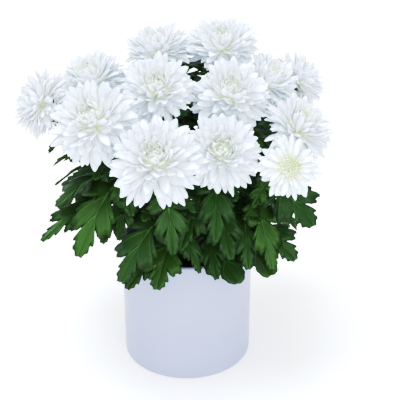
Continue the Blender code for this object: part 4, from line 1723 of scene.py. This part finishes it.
@dataclass
class Peat(Part):
    """The soil: a rough mound, with loose crumbs and bits of fibre bedded in it."""

    sides: int = 140
    rings: int = 50
    sunk: float = 0.8 * MM
    play: float = 0.2 * MM
    smooth_edge: float = 3 * MM
    roughness: float = 1.1 * MM
    waves: int = 48
    first_pitch: float = 300
    finer: float = 1.07
    fading: float = 12
    wave_total: float = 5
    wave_seed: int = 41
    crumbs: int = 420
    crumb_sizes: tuple = (0.5, 1.5)
    crumb_sides: int = 6
    crumb_slopes: tuple = (-50, 0, 50)
    crumb_lumps: tuple = (0.75, 1.2)
    crumb_depth: float = 0.4 * MM
    fibre_share: float = 0.3
    fibre_lengths: tuple = (2, 4)
    crumb_seed: int = 42

    titles = ("peat_ball", "root_ball", "peat")

    def rough(self, x: np.ndarray, y: np.ndarray) -> np.ndarray:
        """The mound's roughness: a sum of sines in random directions, each finer and lower than the last.

        Args:
            x: Places across.
            y: Places back.

        Returns:
            Heights of about 1 up and down, one for each place.
        """
        rng = np.random.default_rng(self.wave_seed)
        total = np.zeros_like(x)
        for wave in range(self.waves):
            way, phase = rng.uniform(0, math.tau, 2)
            pitch = self.first_pitch * self.finer**wave
            run = x * math.cos(way) + y * math.sin(way)
            total += np.sin(run * pitch + phase) / (1 + wave / self.fading)
        return total / self.wave_total

    def shape(self) -> Shape:
        """Makes the mound, which fills the black pot, and its crumbs.

        Returns:
            The soil's points and faces.
        """
        shape = Shape()
        base = (POT.floor + 2 * POT.clear + POT.grow_wall) * MM
        span = (POT.soil_edge - POT.floor) / (POT.grow_top - POT.floor)
        foot = (POT.grow_base_radius - POT.grow_wall - POT.clear) * MM
        edge = foot + (POT.grow_top_radius - POT.grow_base_radius) * span * MM - self.play
        inward = np.linspace(1, 0.01, self.rings)[:, None] * edge
        turn = turns(self.sides)
        radius = np.concatenate((((foot * 0.5,), (foot,)), inward))
        height = np.concatenate((((base,), (base,)), POT.soil_height(inward) - self.sunk))
        x, y = radius * np.cos(turn), radius * np.sin(turn)
        fade = np.concatenate((np.zeros((2, 1)), ease(edge - inward, 0, self.smooth_edge)))
        z = height + self.rough(x, y) * self.roughness * fade
        rings = np.stack((x, y, z), axis=-1)
        poles = np.array(((0, 0, base), (0, 0, z[-1].mean())))
        shape.add_tubes(rings[None], poles[:1], poles[1:], turn / math.tau, np.linspace(0, 1, len(radius)))
        self.add_crumbs(shape, edge - self.smooth_edge)
        return shape

    def add_crumbs(self, shape: Shape, reach: float) -> None:
        """Adds the crumbs: small lumpy spheroids, half bedded, some drawn out to fibres.

        Args:
            shape: The piece.
            reach: How far from the axis they lie.
        """
        rng = np.random.default_rng(self.crumb_seed)
        count = self.crumbs
        place = np.sqrt(rng.uniform(0, 1, count)) * reach
        way = rng.uniform(0, math.tau, count)
        x, y = place * np.cos(way), place * np.sin(way)
        size = rng.uniform(*self.crumb_sizes, count) * MM
        is_fibre = rng.uniform(0, 1, count) < self.fibre_share
        long = np.where(is_fibre, rng.uniform(*self.fibre_lengths, count), 1.0)
        z = POT.soil_height(place) + self.rough(x, y) * self.roughness - self.crumb_depth
        middle = np.stack((x, y, z), axis=-1)
        turn = turns(self.crumb_sides)
        slope = np.radians(np.array(self.crumb_slopes))
        lump = rng.uniform(*self.crumb_lumps, (count, len(slope), self.crumb_sides))
        heading = rng.uniform(0, math.tau, count)
        ahead = np.stack((np.cos(heading), np.sin(heading), 0.2 * np.sin(3 * heading)), axis=-1)
        side = unit(np.cross(UP, ahead))
        lift = np.cross(ahead, side)
        along = np.sin(slope)[None, :, None, None] * (size * long)[:, None, None, None]
        flat = (np.cos(slope)[None, :, None] * lump * size[:, None, None])[..., None]
        around = side[:, None, None] * np.cos(turn)[:, None] + lift[:, None, None] * np.sin(turn)[:, None]
        rings = middle[:, None, None] + ahead[:, None, None] * along + around * flat
        poles = ahead * (size * long)[:, None]
        shares = np.linspace(0.2, 0.8, len(slope))
        shape.add_tubes(rings, middle - poles, middle + poles, turn / math.tau, shares)


@dataclass(frozen=True)
class Lamp:
    """A square soft light: where it stands, the length of its side, its power and its colour."""

    name: str
    place: tuple
    size: float
    power: float
    colour: tuple


@dataclass(frozen=True)
class Studio:
    """The camera at the photograph's angle, a pale floor and soft light from all round."""

    aim: tuple = (0.01427, 0.0, 0.1809)
    distance: float = 1.0
    elevation: float = 26.35
    lens: float = 84.86
    floor_radius: float = 6.0
    floor_sides: int = 96
    floor_colour: tuple = (0.98, 0.98, 0.98, 1)
    sky_colour: tuple = (0.91, 0.955, 1.0, 1)
    floor_glow: float = 0.2
    sky_strength: float = 0.84
    tone: tuple = (
        (0, 0), (0.04, 0.03), (0.1, 0.11), (0.2, 0.32), (0.35, 0.55),
        (0.55, 0.71), (0.8, 0.83), (1.05, 0.93), (1.2, 1),
    )
    lamps: tuple = (
        Lamp("key", (0.7, -2.15, 1.1), 1.6, 15.5, (1.0, 0.99, 0.98)),
        Lamp("top", (-0.5, -0.1, 2.6), 1.6, 40.0, (0.99, 0.995, 1.0)),
    )

    def stand(self, data: bpy.types.ID, place: Vector) -> bpy.types.Object:
        """Stands a camera or lamp in the scene, pointed at the plant.

        Args:
            data: The camera's or lamp's own data, whose name it takes.
            place: Where it stands.

        Returns:
            Its object.
        """
        made = bpy.data.objects.new(data.name, data)
        made.location = place
        made.rotation_euler = (Vector(self.aim) - place).to_track_quat("-Z", "Y").to_euler()
        bpy.context.scene.collection.objects.link(made)
        return made

    def camera(self) -> None:
        """Makes the camera, at its distance from the aim and its angle above it."""
        data = bpy.data.cameras.new("camera")
        data.lens = self.lens
        lean = math.radians(self.elevation)
        back = Vector((0, -math.cos(lean), math.sin(lean)))
        bpy.context.scene.camera = self.stand(data, Vector(self.aim) + back * self.distance)

    def floor(self) -> None:
        """Makes the floor, a wide thin disc under the pot, which glows faintly."""
        recipe = Recipe("floor_finish")
        recipe.feed(recipe.shader, {"Emission Color": (1, 1, 1, 1)})
        glow = self.floor_glow
        finish = recipe.finish(Base_Color=self.floor_colour, Roughness=0.9, Emission_Strength=glow)
        radius = self.floor_radius
        profile = np.array(((0, -0.02), (radius, -0.02), (radius, 0), (radius * 0.5, 0), (0.4, 0), (0, 0)))
        made = turned(profile, self.floor_sides).piece("floor", finish)
        made.data.polygons.foreach_set("use_smooth", np.zeros(len(made.data.polygons), bool))
        made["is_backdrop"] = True

    def sky(self) -> None:
        """Sets the even light from all round."""
        world = bpy.data.worlds.new("studio")
        world.use_nodes = True
        shader = world.node_tree.nodes["Background"]
        shader.inputs["Color"].default_value = self.sky_colour
        shader.inputs["Strength"].default_value = self.sky_strength
        bpy.context.scene.world = world

    def print_tone(self) -> None:
        """Sets the picture's tone: the photograph's whites are printed high and close together."""
        view = bpy.context.scene.view_settings
        view.view_transform = "Standard"
        view.use_curve_mapping = True
        mapping = view.curve_mapping
        mapping.use_clip = False
        curve = mapping.curves[3]
        for point, place in zip(curve.points, (self.tone[0], self.tone[-1])):
            point.location = place
        for place in self.tone[1:-1]:
            curve.points.new(*place)
        mapping.update()

    def light(self, lamp: Lamp) -> None:
        """Makes a lamp that points at the plant.

        Args:
            lamp: What it is.
        """
        data = bpy.data.lights.new(lamp.name, "AREA")
        data.size = lamp.size
        data.energy = lamp.power
        data.color = lamp.colour
        self.stand(data, Vector(lamp.place))

    def build(self) -> None:
        """Makes the studio, the camera first."""
        self.camera()
        self.floor()
        self.sky()
        self.print_tone()
        for lamp in self.lamps:
            self.light(lamp)


def main() -> None:
    """Builds the studio and every piece, and reports the pieces."""
    logging.basicConfig(level=logging.INFO, format="%(message)s")
    Studio().build()
    CoverPot().build(GlazeFinish().build())
    GrowPot().build(PlasticFinish().build())
    Peat().build(PeatFinish().build())
    petal, green = PetalFinish().build(), LeafFinish().build()
    for number, plant in enumerate(PLANTS):
        Bloom(plant, number).build(petal)
        LeafyStem(plant, number).build(green)


if __name__ == "__main__":
    main()
